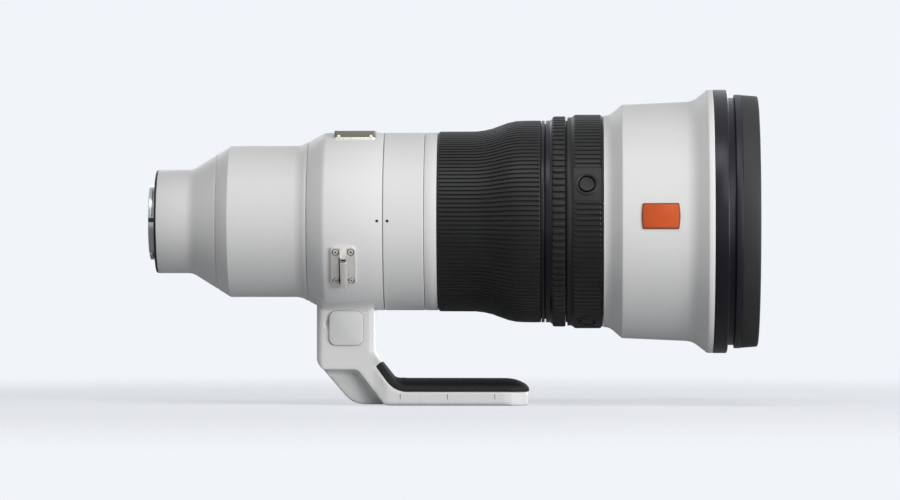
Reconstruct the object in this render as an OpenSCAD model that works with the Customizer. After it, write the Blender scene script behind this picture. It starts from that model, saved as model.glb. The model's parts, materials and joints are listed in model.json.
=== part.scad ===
// Super telephoto lens with drop-in filter, rotating tripod collar and foot.
// Millimetres. The origin is the centre of the mount flange face; +X runs along the optical axis
// to the front, +Z is up and the foot hangs at -Z. Angles round the axis start at the right side
// (-Y) and run up towards the top (+Z).

/* [Mount] */
// Radius of the clear throat
throat_r = 19.5; // [18:0.1:23]
// Wall of the bayonet neck
neck_wall = 2.3; // [1.9:0.1:3]
// Length of the neck behind the flange face
neck_len = 4.7; // [4.4:0.1:6]
// Height of the bayonet tabs over the neck
tab_lip = 1.1; // [0.8:0.1:1.5]
// Thickness of a tab along the axis
tab_t = 2.3; // [1.8:0.1:2.4]
// Angle that each of the three tabs spans
tab_angle = 60; // [48:1:72]
// Width of the flange face outside the tabs
flange_land = 6.6; // [5.4:0.1:8]
// Thickness of the flange
flange_t = 2.0; // [1.6:0.1:2.6]
// Radial thickness of the rubber seal
seal_wall = 1.4; // [1.1:0.1:1.8]
// How far the seal stands behind the flange face
seal_proud = 0.8; // [0.6:0.1:1.1]
// Radius of the mount screws
mount_screw_r = 0.9; // [0.7:0.05:1.1]

/* [Barrel lengths] */
// Flange face to the start of the rear cone
rear_straight = 20.8; // [17:0.1:26]
// Length of the rear cone on the rear barrel
rear_cone_len = 15.8; // [12.5:0.1:19]
// Length of the rear cone on the filter housing
filter_cone_len = 7.1; // [5.5:0.1:9]
// Slope of the rear cone from the axis
rear_cone_angle = 32; // [26:1:38]
// Length of the straight filter housing
filter_len = 42; // [36:0.5:52]
// Length of the collar cone on the filter housing
collar_cone_rear = 5.2; // [4.2:0.1:6.5]
// Length of the collar cone on the collar
collar_cone_front = 10; // [8:0.1:12]
// Slope of the collar cone from the axis
collar_cone_angle = 27.5; // [22:0.5:33]
// Length of the collar, cone included
collar_len = 45.6; // [42:0.1:55]
// Length of the switch barrel
switch_len = 24; // [22:0.1:30]
// Length of the spacer ring
spacer_len = 8; // [6.5:0.1:10]
// Length of the focus ring's rubber
focus_len = 61.4; // [56:0.1:74]
// Length of the function ring
function_len = 11.7; // [10:0.1:14]
// Length of the button ring
button_ring_len = 21.2; // [19:0.1:26]
// Length of the front barrel
front_barrel_len = 65.3; // [60:0.1:78]
// Length of the front rim, from the front barrel to the tip of the bumper
rim_len = 27.0; // [25:0.1:32]

/* [Walls and fits] */
// Wall of the painted shells
shell_wall = 2.2; // [1.8:0.1:2.7]
// Wall of the inner tubes
tube_wall = 2.5; // [2:0.1:3]
// Thickness of the inner webs
web_t = 2.4; // [1.9:0.1:2.9]
// Radial clearance of running fits
run_fit = 0.06; // [0.05:0.01:0.08]
// Gap between seated pieces of one body
seat_gap = 0.03; // [0.02:0.01:0.05]
// Open seam beside a turning ring
seam = 0.3; // [0.25:0.01:0.4]
// Radius of the blends at the foot of a cone
blend_r = 9.4; // [7.5:0.1:11.5]

/* [Rings] */
// How far the focus rubber stands over the body
grip_proud = 0.7; // [0.5:0.1:1]
// Thickness of the focus rubber
grip_rubber = 2.3; // [2:0.1:2.8]
// Wall of the focus sleeve under the rubber
sleeve_wall = 1.6; // [1.3:0.1:2]
// Rise of the barrel under the focus ring
flare_rise = 6.6; // [5.4:0.1:8]
// Start of that rise, from the rear of the focus ring
flare_start = 22; // [18:0.5:25]
// Length of that rise
flare_len = 28; // [23:0.5:31]
// Ribs on the focus rubber
focus_ribs = 128; // [96:1:128]
// Ribs on the function rubber
function_ribs = 92; // [70:1:96]
// Ribs on the button ring's rubber
button_ribs = 120; // [90:1:120]
// Depth of the grooves between ribs
groove_depth = 0.8; // [0.6:0.05:0.95]
// Width of the lip in front of the focus rubber
focus_lip_len = 1.8; // [1.4:0.1:2.2]
// Height of the function rubber over the focus rubber
function_rise = 2.5; // [2.1:0.1:3]
// Height of the button ring over the focus rubber
button_rise = 3.5; // [3.1:0.1:4.2]
// Radius of a hold button's cap
button_r = 4.7; // [4:0.1:5.4]
// Radial width of the moat round a cap
button_moat = 1.1; // [0.9:0.1:1.3]
// Radial width of the rim round the moat
button_rim = 1.4; // [1.1:0.1:1.7]
// Travel of a hold button
button_travel = 0.8; // [0.6:0.05:0.95]
// Angle of the first hold button
button_angle = 20; // [17:1:23]

/* [Front] */
// Rise of the front barrel's rear shoulder
shoulder_rise = 6.6; // [5.5:0.1:8]
// Slope of that shoulder from the axis
shoulder_angle = 40.5; // [35:0.5:46]
// Rise along the front barrel's taper
taper_rise = 1.85; // [1.5:0.05:2.2]
// Rise of the front barrel's flare
rim_rise = 6.95; // [5.8:0.05:8.3]
// Slope of that flare from the axis
rim_angle = 38.3; // [33:0.1:44]
// Straight rim in front of the flare
rim_straight = 3.4; // [2.8:0.1:4]
// Width of the hood stop ring
stop_len = 8.6; // [7.2:0.1:9.4]
// Depth of the hood groove below the stop ring
stop_depth = 4.85; // [4.5:0.05:5.8]
// Width of the hood groove
hood_groove_len = 4.1; // [3.4:0.1:4.9]
// Width of the band in front of the groove
band_len = 3.9; // [3.2:0.1:4.6]
// Height of the band over the groove floor
band_rise = 1.9; // [1.6:0.1:2.3]
// Wall of the front ring round the glass
front_wall = 1.9; // [1.6:0.1:2.2]
// Thickness of the front element at its middle
front_glass_t = 6; // [5:0.1:7]
// Radius of curvature of the front element
front_glass_curve = 280; // [240:1:330]

/* [Foot] */
// Half width of the neck
foot_neck_hw = 17; // [14:0.1:20]
// Neck to the rear edge of the collar
neck_rear_inset = 4.9; // [4:0.1:6]
// Neck to the front edge of the collar
neck_front_inset = 6.2; // [5:0.1:7.5]
// Axis to the underside of the foot
foot_depth = 110; // [100:0.5:130]
// Thickness of the foot plate
plate_t = 8.3; // [7.6:0.1:10]
// Front of the neck to the front end of the plate
plate_reach = 91.6; // [84:0.1:110]
// Half width of the plate
plate_hw = 19; // [18:0.1:23]
// Radius of the plate's front corners
plate_corner = 14; // [11:0.1:17]
// Slope of the neck's rear face below the heel, from the vertical
heel_angle = 40.3; // [36:0.1:46]
// Height of the heel over the underside
heel_height = 25.8; // [22:0.1:30]
// Slope of the neck's inner face, from the vertical
inner_angle = 37; // [32:0.5:42]
// Thickness of the pad on the inner slope
pad_t = 4.2; // [3.5:0.1:5]
// Height of the pad's crown over the plate
pad_crown = 8.6; // [7.2:0.1:10]
// Height of the pad's side wall
pad_side = 2.7; // [2.2:0.1:3.2]
// Radius of the rounded edges of the neck
neck_round = 4; // [3.2:0.1:4.8]
// Side of the square cap
cap_side = 20.8; // [17.5:0.1:23]
// Height of the square cap
cap_t = 1.2; // [1:0.1:1.5]
// Minor radius of the small tripod threads
small_thread_r = 2.55; // [2.1:0.05:3]
// Minor radius of the large tripod thread
large_thread_r = 3.97; // [3.3:0.01:4.7]
// Depth of the tripod holes
thread_depth = 6.5; // [5.5:0.1:7.5]
// Spacing of the tripod holes
thread_pitch = 28.2; // [24:0.1:33]
// Radius of the lock knob
knob_r = 11; // [9:0.1:13]
// Height of the lock knob
knob_h = 13; // [11:0.1:16]
// Radius of the lock screw
lock_screw_r = 4; // [3.3:0.1:4.7]

/* [Fittings] */
// Length of the name plate along the axis
name_plate_len = 24.3; // [20:0.1:28]
// Angle that the name plate spans on each side of the top
name_plate_angle = 23; // [19:1:27]
// Height of the plates over the barrel
plate_proud = 0.8; // [0.6:0.1:1]
// Length of a strap lug along the axis
lug_len = 15.3; // [13:0.1:18]
// Width of a strap lug round the barrel
lug_width = 25.7; // [22:0.1:30]
// Angle of the strap lugs below the horizontal
lug_angle = 28.4; // [24:0.1:33]
// Width of a lug's bridge
bridge_w = 4; // [3.3:0.1:4.7]
// Height of a lug's bridge over its plate
bridge_h = 3.8; // [3.2:0.1:4.5]
// Length of the badge along the axis
badge_len = 21.4; // [18:0.1:25]
// Height of the badge
badge_h = 15.1; // [12.6:0.1:18]
// Half angle of the switch panel
panel_angle = 40; // [38:1:47]
// Length of a switch knob along the axis
switch_knob_len = 5; // [4.2:0.1:5.9]
// Width of a switch knob
switch_knob_w = 3.4; // [2.8:0.1:4]
// Travel of a switch
switch_travel = 3; // [2.5:0.1:3.5]
// Radius of the set button
set_button_r = 3; // [2.5:0.1:3.5]

/* [Filter] */
// Radius of the drop-in filter glass
filter_glass_r = 20.25; // [17:0.05:22]
// Thickness of the filter glass
filter_glass_t = 2; // [1.6:0.1:2.4]
// Thickness of the filter holder along the axis
holder_t = 13.4; // [11:0.1:16]
// Tilt of the holder's slot from the top towards the left side
filter_tilt = 35; // [35:1:42]
// Start of the straight filter housing to the middle of the slot
filter_inset = 15.3; // [13:0.1:18]
// Rim of the holder round the glass
holder_rim = 1.75; // [1.4:0.05:2.1]
// Radius of the release button
release_r = 4; // [3.3:0.1:4.7]

/* [Inner groups] */
// Wall of the journal that the collar turns on
journal_wall = 3; // [2.5:0.1:3.6]
// Radius of the rear element
rear_glass_r = 18; // [15:0.1:19]
// Thickness of the rear element
rear_glass_t = 5; // [4:0.1:6]
// Radius of the stabiliser element
stab_glass_r = 20; // [16.5:0.1:21]
// Travel of the stabiliser to each side
stab_travel = 1; // [0.8:0.05:1.2]
// Radius of the open iris
iris_open_r = 24; // [20:0.1:26]
// Number of iris blades
iris_count = 11; // [9:1:11]
// Thickness of an iris blade
blade_t = 0.2; // [0.16:0.01:0.24]
// Radius of the focus element
focus_glass_r = 33; // [28:0.1:34]
// Length of the focus cell
focus_cell_len = 12; // [10:0.1:14]
// Radius of the guide rods
rod_r = 1.5; // [1.2:0.1:1.8]
// Length of the rear part of the front group's cell
group_rear_len = 20; // [17:0.1:24]
// Length of the front part of that cell
group_front_len = 26; // [22:0.1:30]

/* [Hidden] */

$fn = 96;
// Overrun of cuts
over = 1;
// Small edge break on the barrel ends
edge = 0.4;
// Steps in a rounded corner
arc_steps = 5;

// Colours
paint = "#dfdfdb";
black = "#28292b";
rubber = "#1d1e20";
metal = "#b9bbbe";
chrome = "#d6d8da";
dark_metal = "#4a4c50";
glass = "#9fb8c9";
gold = "#c9a445";
accent = "#c4512c";
board = "#2c5a3c";
khaki = "#7b786c";

// Radii of the outside, from the mount outwards
neck_r = throat_r + neck_wall;
tab_r = neck_r + tab_lip;
flange_r = tab_r + flange_land;
seal_r = flange_r + seal_wall;
seal_step = 0.1;
rear_r = seal_r + seal_step;
filter_r = rear_r + (rear_cone_len + filter_cone_len) * tan(rear_cone_angle);
body_r = filter_r + (collar_cone_rear + collar_cone_front) * tan(collar_cone_angle);
grip_r = body_r + grip_proud;
lip_r = grip_r + flare_rise;
function_r = lip_r + function_rise;
button_top_r = lip_r + button_rise;
front_rear_r = button_top_r - grip_proud;
shoulder_r = front_rear_r + shoulder_rise;
taper_r = shoulder_r + taper_rise;
rim_r = taper_r + rim_rise;

// Places of the seams along the axis
x_rear = rear_straight + rear_cone_len;
x_filter = x_rear + filter_cone_len;
x_collar_cone = x_filter + filter_len;
x_collar = x_collar_cone + collar_cone_rear;
x_switch = x_collar + collar_len;
x_spacer = x_switch + switch_len;
x_focus = x_spacer + spacer_len;
x_lip = x_focus + focus_len;
ring_notch = 0.8;
x_function = x_lip + seam + focus_lip_len + ring_notch;
x_button = x_function + function_len + ring_notch + edge;
x_front = x_button + button_ring_len + seam;
x_rim = x_front + front_barrel_len;
x_tip = x_rim + rim_len;

// Radii of the inside
journal_inset = 0.3;
journal_r = filter_r - journal_inset;
journal_in = journal_r - journal_wall;
tube_r = grip_r - grip_rubber - sleeve_wall - run_fit - seat_gap;
tube_front_r = tube_r + flare_rise;
bearing_r = tube_r + run_fit;
bearing_front_r = tube_front_r + run_fit;
x_flare = x_focus + flare_start;
x_flare_end = x_flare + flare_len;

// Turned piece: profile points are [x along the axis, radius]
module turned(profile)
    rotate([0, 90, 0]) rotate_extrude() polygon([for (p = profile) [p[1], p[0]]]);

// Plain turned ring between two places and two radii
module ring(x0, x1, r0, r1) turned([[x0, r0], [x1, r0], [x1, r1], [x0, r1]]);

// Part of a turned ring, from angle a0 over an angle
module ring_sector(x0, x1, r0, r1, a0, sweep)
    rotate([-(a0 + 90 + sweep), 0, 0]) rotate([0, 90, 0]) rotate_extrude(angle = sweep)
        polygon([[r0, x0], [r1, x0], [r1, x1], [r0, x1]]);

// Puts a piece that is built at the right side (-Y) at angle a round the axis
module at_angle(a) rotate([-a, 0, 0]) children();

// Round bar that points out along -Y, between two distances from the axis
module spoke(x, r0, r1, rad) translate([x, -r0, 0]) rotate([90, 0, 0]) cylinder(r = rad, h = r1 - r0);

// Round bar along the axis, at a distance from it on the right side
module axial(x0, x1, r, rad) translate([x0, -r, 0]) rotate([0, 90, 0]) cylinder(r = rad, h = x1 - x0);

function unit(v) = v / norm(v);

// Arc that rounds corner q between p and s
function corner_arc(p, q, s, r) =
    let (a = unit(p - q), b = unit(s - q), half = acos(a * b) / 2,
         centre = q + unit(a + b) * r / sin(half),
         v = q + a * r / tan(half) - centre, w = q + b * r / tan(half) - centre,
         turn = sign(v[0] * w[1] - v[1] * w[0]) * (180 - 2 * half))
    [for (i = [0 : arc_steps]) let (t = turn * i / arc_steps)
        centre + [v[0] * cos(t) - v[1] * sin(t), v[0] * sin(t) + v[1] * cos(t)]];

// Outline from corners [x, y, radius]
function rounded(corners) = [for (i = [0 : len(corners) - 1])
    let (n = len(corners), q = corners[i], p = corners[(i + n - 1) % n], s = corners[(i + 1) % n])
    each q[2] > 0 ? corner_arc([p[0], p[1]], [q[0], q[1]], [s[0], s[1]], q[2]) : [[q[0], q[1]]]];

// Rectangle with round corners, centred
function plate_outline(w, h, r) =
    rounded([for (c = [[-1, -1], [1, -1], [1, 1], [-1, 1]]) [c[0] * w / 2, c[1] * h / 2, r]]);

// Prism that stands out along -Y over an outline in X and Z
module outward(outline, r0, r1)
    translate([0, -r0, 0]) rotate([90, 0, 0]) linear_extrude(r1 - r0) polygon(outline);

// Plate that follows the barrel: a turned band cut to an outline in X and Z
module curved_plate(band, x, outline, a)
    at_angle(a) intersection() {
        turned(band);
        translate([x, 0, 0]) outward(outline, 0, 2 * rim_r);
    }

// Place on a ribbed ring: distance x along the axis, radius r, angle a
function on_ring(x, r, a) = [x, -r * cos(a), r * sin(a)];

// Angle between two directions, at most 180
function apart(a, b) = abs(((a - b) % 360 + 540) % 360 - 180);

// Rubber ring with ribs along its length. skin lists [x, radius, groove depth] from rear to front,
// bore lists [x, radius]. Ribs stop at plain pads round the angles in pads. A rib has three points:
// both edges of its land and the bottom of the groove beside it
module ribbed_ring(skin, bore, ribs, pads = [], pad_half = 0) {
    pitch = 360 / ribs;
    land_share = 0.62;
    around = 3 * ribs;
    first_bore = len(skin) * around;
    bore_stretch = 1 / cos(pitch / 2);
    function groove(k, depth) =
        len([for (p = pads) if (apart((k + land_share) * pitch, p) < pad_half) 1]) > 0 ? 0 : depth;
    skin_points = [for (s = skin) for (k = [0 : ribs - 1]) each [
        on_ring(s[0], s[1], k * pitch),
        on_ring(s[0], s[1], (k + land_share) * pitch),
        on_ring(s[0], s[1] - groove(k, s[2]), (k + (1 + land_share) / 2) * pitch)]];
    bore_points = [for (b = bore) for (k = [0 : ribs - 1]) on_ring(b[0], b[1] * bore_stretch, k * pitch)];
    function skin_at(row, i) = row * around + i % around;
    function bore_at(row, k) = first_bore + row * ribs + k % ribs;
    skin_faces = [for (row = [0 : len(skin) - 2]) for (i = [0 : around - 1]) each [
        [skin_at(row, i), skin_at(row, i + 1), skin_at(row + 1, i + 1)],
        [skin_at(row, i), skin_at(row + 1, i + 1), skin_at(row + 1, i)]]];
    bore_faces = [for (row = [0 : len(bore) - 2]) for (k = [0 : ribs - 1]) each [
        [bore_at(row, k), bore_at(row + 1, k + 1), bore_at(row, k + 1)],
        [bore_at(row, k), bore_at(row + 1, k), bore_at(row + 1, k + 1)]]];
    function end_faces(skin_row, bore_row) = [for (k = [0 : ribs - 1])
        let (i = 3 * k, b0 = bore_at(bore_row, k), b1 = bore_at(bore_row, k + 1)) each [
        [b0, skin_at(skin_row, i + 1), skin_at(skin_row, i)],
        [b0, skin_at(skin_row, i + 2), skin_at(skin_row, i + 1)],
        [b0, b1, skin_at(skin_row, i + 2)],
        [b1, skin_at(skin_row, i + 3), skin_at(skin_row, i + 2)]]];
    front_faces = [for (f = end_faces(len(skin) - 1, len(bore) - 1)) [f[0], f[2], f[1]]];
    polyhedron(points = concat(skin_points, bore_points),
               faces = concat(skin_faces, bore_faces, end_faces(0, 0), front_faces));
}

// Mount
seal_seat = 0.6;
mount_screw_count = 6;
mount_screw_place = (tab_r + flange_r) / 2;
mount_screw_head = 1.9 * mount_screw_r;
mount_screw_len = flange_t + web_t;
mount_web_r = tab_r + tab_lip;
tab_first = 1;
lock_hole_r = 1.4;
lock_hole_angle = 60;

module bayonet() color(chrome) difference() {
    union() {
        turned([[-neck_len, throat_r], [flange_t, throat_r], [flange_t, flange_r], [0, flange_r],
                [0, neck_r], [-neck_len, neck_r]]);
        for (i = [0 : 2])
            ring_sector(seam - neck_len, tab_t - neck_len, neck_r - neck_wall / 2, tab_r,
                        tab_first + 120 * i, tab_angle);
    }
    for (i = [0 : mount_screw_count - 1]) at_angle((i + 0.5) * 360 / mount_screw_count) {
        axial(-over, flange_t + over, mount_screw_place, mount_screw_r + run_fit);
        axial(-over, flange_t / 2, mount_screw_place, mount_screw_head + run_fit);
    }
    at_angle(lock_hole_angle) axial(-over, flange_t + over, mount_screw_place, lock_hole_r);
}

module mount_seal() color(rubber)
    turned([[-seal_proud, flange_r + seat_gap], [seal_seat, flange_r + seat_gap],
            [seal_seat, seal_r], [0, seal_r], [-seal_proud, seal_r - edge]]);

module mount_screws() color(metal)
    for (i = [0 : mount_screw_count - 1]) at_angle((i + 0.5) * 360 / mount_screw_count) {
        axial(edge / 2, flange_t / 2, mount_screw_place, mount_screw_head);
        axial(edge / 2, mount_screw_len, mount_screw_place, mount_screw_r);
    }

contact_count = 10;
contact_step = 10.5;
contact_r = 0.7;
contact_depth = 5.6;
contact_proud = 0.4;
contact_inset = 0.5;
contact_ring_r = throat_r - contact_depth / 2;
contact_rear = contact_inset - neck_len;
contact_sweep = contact_count * contact_step;

// Puts a piece at each contact, which lie in an arc below the axis
module at_contacts()
    for (i = [0 : contact_count - 1]) at_angle(270 + (i - (contact_count - 1) / 2) * contact_step) children();

module contact_block() color(black) difference() {
    ring_sector(contact_rear, flange_t, throat_r - contact_depth, throat_r - seat_gap,
                270 - contact_sweep / 2, contact_sweep);
    at_contacts() axial(contact_rear - over, 0, contact_ring_r, contact_r + seat_gap);
}

module contact_pins() color(gold)
    at_contacts() axial(contact_rear - contact_proud, -edge, contact_ring_r, contact_r);

// Rear barrel: bayonet web at the back, a web for the rear cell, and the cone
cone_lift = shell_wall / cos(rear_cone_angle);
cone_shift = shell_wall * tan(rear_cone_angle / 2);
rear_seam_r = rear_r + rear_cone_len * tan(rear_cone_angle);
rear_in = rear_r - shell_wall;
cell_r = rear_glass_r + seat_gap;
cell_out = cell_r + tube_wall;
cell_web_x = rear_straight - web_t;
rear_clear = cell_out + tube_wall;

module rear_barrel() color(paint) difference() {
    turned(rounded([
        [seal_seat, flange_r + 2 * seat_gap, 0], [seal_seat, rear_r - edge, 0],
        [seal_seat + edge, rear_r, 0], [rear_straight, rear_r, blend_r],
        [x_rear - edge, rear_seam_r - edge * tan(rear_cone_angle), 0], [x_rear, rear_seam_r - edge, 0],
        [x_rear, rear_seam_r - cone_lift - web_t, 0], [x_rear - web_t, rear_seam_r - cone_lift - web_t, 0],
        [x_rear - web_t, rear_seam_r - cone_lift - web_t * tan(rear_cone_angle), 0],
        [rear_straight + cone_shift, rear_in, blend_r],
        [cell_web_x + web_t, rear_in, 0], [cell_web_x + web_t, cell_out + seat_gap, 0],
        [cell_web_x, cell_out + seat_gap, 0], [cell_web_x, rear_in, 0],
        [flange_t + web_t, rear_in, 0], [flange_t + web_t, mount_web_r, 0],
        [flange_t, mount_web_r, 0], [flange_t, flange_r + 2 * seat_gap, 0]]));
    for (i = [0 : mount_screw_count - 1]) at_angle((i + 0.5) * 360 / mount_screw_count)
        axial(0, flange_t + web_t + over, mount_screw_place, mount_screw_r + seat_gap);
}

// Rear cell: slides in from the front, its flange on the web, its lip behind the glass
cell_start = flange_t + edge;
cell_lip = 1.5;
rear_glass_x = cell_start + web_t;

module rear_cell() color(black)
    turned([[cell_start, cell_r - cell_lip], [rear_glass_x, cell_r - cell_lip], [rear_glass_x, cell_r],
            [cell_web_x + 2 * web_t, cell_r], [cell_web_x + 2 * web_t, rear_clear],
            [cell_web_x + web_t, rear_clear], [cell_web_x + web_t, cell_out], [cell_start, cell_out]]);

// Glass with two spherical faces: r is its radius, x0 and x1 its edge faces, bulge0 and bulge1 how
// far each face stands out at the middle
function dish(x, bulge, r, steps = 8) =
    [for (i = [0 : steps]) let (s = i / steps) [x + bulge * (1 - s * s), r * s]];
function flipped(points) = [for (i = [len(points) - 1 : -1 : 0]) points[i]];
module lens(x0, x1, bulge0, bulge1, r)
    turned(concat(dish(x0, -bulge0, r), flipped(dish(x1, bulge1, r))));

module rear_element() color(glass)
    lens(rear_glass_x, rear_glass_x + rear_glass_t, -web_t / 2, web_t / 2, rear_glass_r);

board_t = 1.6;
board_x = x_rear + web_t;
module main_board() color(board)
    ring(board_x, board_x + board_t, rear_clear, rear_seam_r - cone_lift);

// Filter housing: rear web, filter well with its two walls, front web
filter_in = filter_r - shell_wall;
housing_end_r = filter_r + collar_cone_rear * tan(collar_cone_angle);
filter_x = x_filter + filter_inset;
slot_gap = 0.3;
slot_t = holder_t + 2 * slot_gap;
holder_hw = filter_glass_r + holder_rim;
slot_side = 1.4;
slot_hw = holder_hw + slot_side + slot_gap;
slot_corner = 2.5;
well_wall = web_t;
well_clear = filter_glass_r + holder_rim / 2;
collar_blend = 12;
journal_clear = journal_in - journal_wall;

// Turns a piece that is built at the top to the slot of the drop-in filter
module at_filter() rotate([-filter_tilt, 0, 0]) children();

module filter_housing() color(paint) difference() {
    union() {
        turned(rounded([
            [x_rear, rear_seam_r - cone_lift - web_t, 0], [x_rear, rear_seam_r - edge, 0],
            [x_rear + edge, rear_seam_r + edge * tan(rear_cone_angle), 0],
            [x_filter, filter_r, edge], [x_collar_cone, filter_r, collar_blend],
            [x_collar - edge, housing_end_r - edge * tan(collar_cone_angle), 0],
            [x_collar, housing_end_r - edge, 0],
            [x_collar, journal_clear, 0], [x_collar - web_t, journal_clear, 0],
            [x_collar - web_t, filter_in, 0],
            [x_filter + cone_shift, filter_in, 0],
            [x_rear + web_t, rear_seam_r - cone_lift + web_t * tan(rear_cone_angle), 0],
            [x_rear + web_t, rear_seam_r - cone_lift - web_t, 0]]));
        for (side = [-1, 1])
            ring(filter_x + side * (slot_t + well_wall) / 2 - well_wall / 2,
                 filter_x + side * (slot_t + well_wall) / 2 + well_wall / 2,
                 well_clear, filter_in + edge);
    }
    at_filter() translate([filter_x, 0, well_clear])
        linear_extrude(2 * filter_r) polygon(plate_outline(slot_t, 2 * slot_hw, slot_corner));
}

// Drop-in filter holder: a frame with a round foot, and a lid that lies flush in the barrel
lid_hw = slot_hw - slot_gap;
lid_floor = sqrt(filter_in * filter_in - lid_hw * lid_hw);
glass_seat_x = filter_x - filter_glass_t / 2;
release_h = 2;
release_proud = 0.5;
release_stem_r = release_r / 2.6;
release_stem_len = 6;
release_travel = 1;

module filter_holder() color(black) at_filter() difference() {
    intersection() {
        ring(filter_x - holder_t / 2, filter_x + holder_t / 2, 0, filter_r);
        union() {
            translate([filter_x - holder_t / 2, 0, 0]) rotate([90, 0, 90]) linear_extrude(holder_t) {
                circle(r = holder_hw);
                translate([-holder_hw, 0]) square([2 * holder_hw, filter_r]);
            }
            translate([filter_x, 0, lid_floor])
                linear_extrude(filter_r) polygon(plate_outline(holder_t, 2 * lid_hw, slot_corner - slot_gap));
        }
    }
    ring(filter_x - holder_t, filter_x + holder_t, 0, filter_glass_r - holder_rim);
    ring(glass_seat_x, filter_x + holder_t, 0, filter_glass_r + seat_gap);
    translate([filter_x, 0, filter_r - release_h - release_travel])
        cylinder(r = release_r + run_fit, h = filter_r);
    translate([filter_x, 0, filter_r - release_h - release_travel - release_stem_len])
        cylinder(r = release_stem_r + run_fit, h = filter_r);
}

module filter_glass() color(glass) at_filter()
    ring(glass_seat_x, glass_seat_x + filter_glass_t, 0, filter_glass_r);

module filter_release() color(metal) at_filter() {
    translate([filter_x, 0, filter_r - release_h]) cylinder(r = release_r, h = release_h + release_proud);
    translate([filter_x, 0, filter_r - release_h - release_stem_len + release_travel / 2])
        cylinder(r = release_stem_r, h = release_stem_len);
}

// Collar journal: the tube between the filter housing and the switch barrel
module collar_journal() color(dark_metal)
    turned([[x_collar, journal_clear], [x_collar + web_t, journal_clear], [x_collar + web_t, journal_in],
            [x_switch - web_t, journal_in], [x_switch - web_t, journal_clear], [x_switch, journal_clear],
            [x_switch, journal_r], [x_collar, journal_r]]);

// Stabiliser: a base plate, a frame that slides up and down on it between two rails, and a cell
// that slides sideways on the frame between two more
stab_plate_t = 2.7;
stab_gap = 0.3;
stab_x = x_collar + web_t;
stab_cell_wall = 2.5;
stab_cell_out = stab_glass_r + seat_gap + stab_cell_wall;
stab_hole = stab_cell_out + 2 * stab_travel;
inner_seat_r = journal_in - seat_gap;
stab_frame_r = inner_seat_r - 2 * stab_travel - stab_gap;
rail_w = 3;
rail_place = stab_hole + rail_w;
frame_x = stab_x + stab_plate_t + stab_gap;
cell_plate_x = frame_x + stab_plate_t + stab_gap;
frame_rail_place = stab_hole + rail_w / 2;
stab_cell_len = 11;
stab_glass_t = 6;

// Pair of rails beside the axis, along Z or turned to lie along Y
module rails(x, place, half_len)
    for (side = [-1, 1])
        translate([x, side * (place + rail_w / 2) - rail_w / 2, -half_len])
            cube([stab_plate_t, rail_w, 2 * half_len]);

module stabiliser_base() color(dark_metal) {
    ring(stab_x, stab_x + stab_plate_t, stab_hole + stab_travel, inner_seat_r);
    rails(stab_x + stab_plate_t, rail_place, stab_hole / 2);
}

module stabiliser_frame() color(metal) {
    intersection() {
        ring(frame_x, frame_x + stab_plate_t, stab_hole, stab_frame_r);
        translate([0, stab_gap - rail_place, -journal_r])
            cube([x_switch, 2 * (rail_place - stab_gap), 2 * journal_r]);
    }
    rotate([90, 0, 0]) rails(frame_x + stab_plate_t, frame_rail_place, stab_hole / 2);
}

module stabiliser_cell() color(black) difference() {
    union() {
        intersection() {
            ring(cell_plate_x, cell_plate_x + stab_plate_t, stab_glass_r, stab_frame_r - 2 * stab_travel);
            translate([0, -journal_r, stab_gap - frame_rail_place])
                cube([x_switch, 2 * journal_r, 2 * (frame_rail_place - stab_gap)]);
        }
        ring(frame_x, frame_x + stab_cell_len, stab_glass_r - cell_lip, stab_cell_out);
    }
    ring(frame_x + web_t, frame_x + stab_cell_len + over, 0, stab_glass_r + seat_gap);
}

module stabiliser_element() color(glass)
    lens(frame_x + web_t, frame_x + web_t + stab_glass_t, -web_t, -web_t / 2, stab_glass_r);

// Iris: a cup that holds the blades, and the ring that swings them
iris_x = frame_x + stab_cell_len + 2 * web_t;
iris_plate_t = 1.5;
iris_wall = 3.4;
iris_in = inner_seat_r - iris_wall;
blade_pitch = 1.5 * blade_t;
iris_stack = iris_count * blade_pitch;
iris_ring_x = iris_x + iris_plate_t + iris_stack + 2 * blade_t;
iris_ring_t = 2.5;
iris_cup_len = iris_plate_t + iris_stack + 2 * blade_t + iris_ring_t + blade_t;
iris_ring_out = iris_in - run_fit;
ear_r = 1.5;
ear_place = iris_in - ear_r - edge;
blade_out = ear_place - ear_r - edge;
blade_in = iris_open_r + edge;
blade_sweep = 96;
blade_pin_r = 0.7;
drive_angle = 12;

module iris_housing() color(black) difference() {
    turned([[iris_x, iris_open_r], [iris_x + iris_plate_t, iris_open_r], [iris_x + iris_plate_t, iris_in],
            [iris_x + iris_cup_len, iris_in], [iris_x + iris_cup_len, inner_seat_r], [iris_x, inner_seat_r]]);
    for (i = [0 : iris_count - 1]) at_angle(i * 360 / iris_count)
        axial(iris_x - over, iris_x + iris_plate_t + over, ear_place, blade_pin_r + run_fit);
}

// One blade, with its pivot pin towards the back and its drive pin towards the ring
module iris_blade(level) {
    x = iris_x + iris_plate_t + blade_t + level * blade_pitch;
    ring_sector(x, x + blade_t, blade_in, blade_out, 0, blade_sweep);
    axial(x, x + blade_t, ear_place, ear_r);
    ring_sector(x, x + blade_t, blade_out - edge, ear_place, 0, drive_angle);
    at_angle(drive_angle) axial(x, x + blade_t, ear_place, ear_r);
    axial(iris_x, x + blade_t / 2, ear_place, blade_pin_r);
    at_angle(drive_angle) axial(x, iris_ring_x + iris_ring_t / 2, ear_place, blade_pin_r);
}

module iris_blades() color(dark_metal)
    for (i = [0 : iris_count - 1]) at_angle(i * 360 / iris_count) iris_blade(i);

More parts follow.
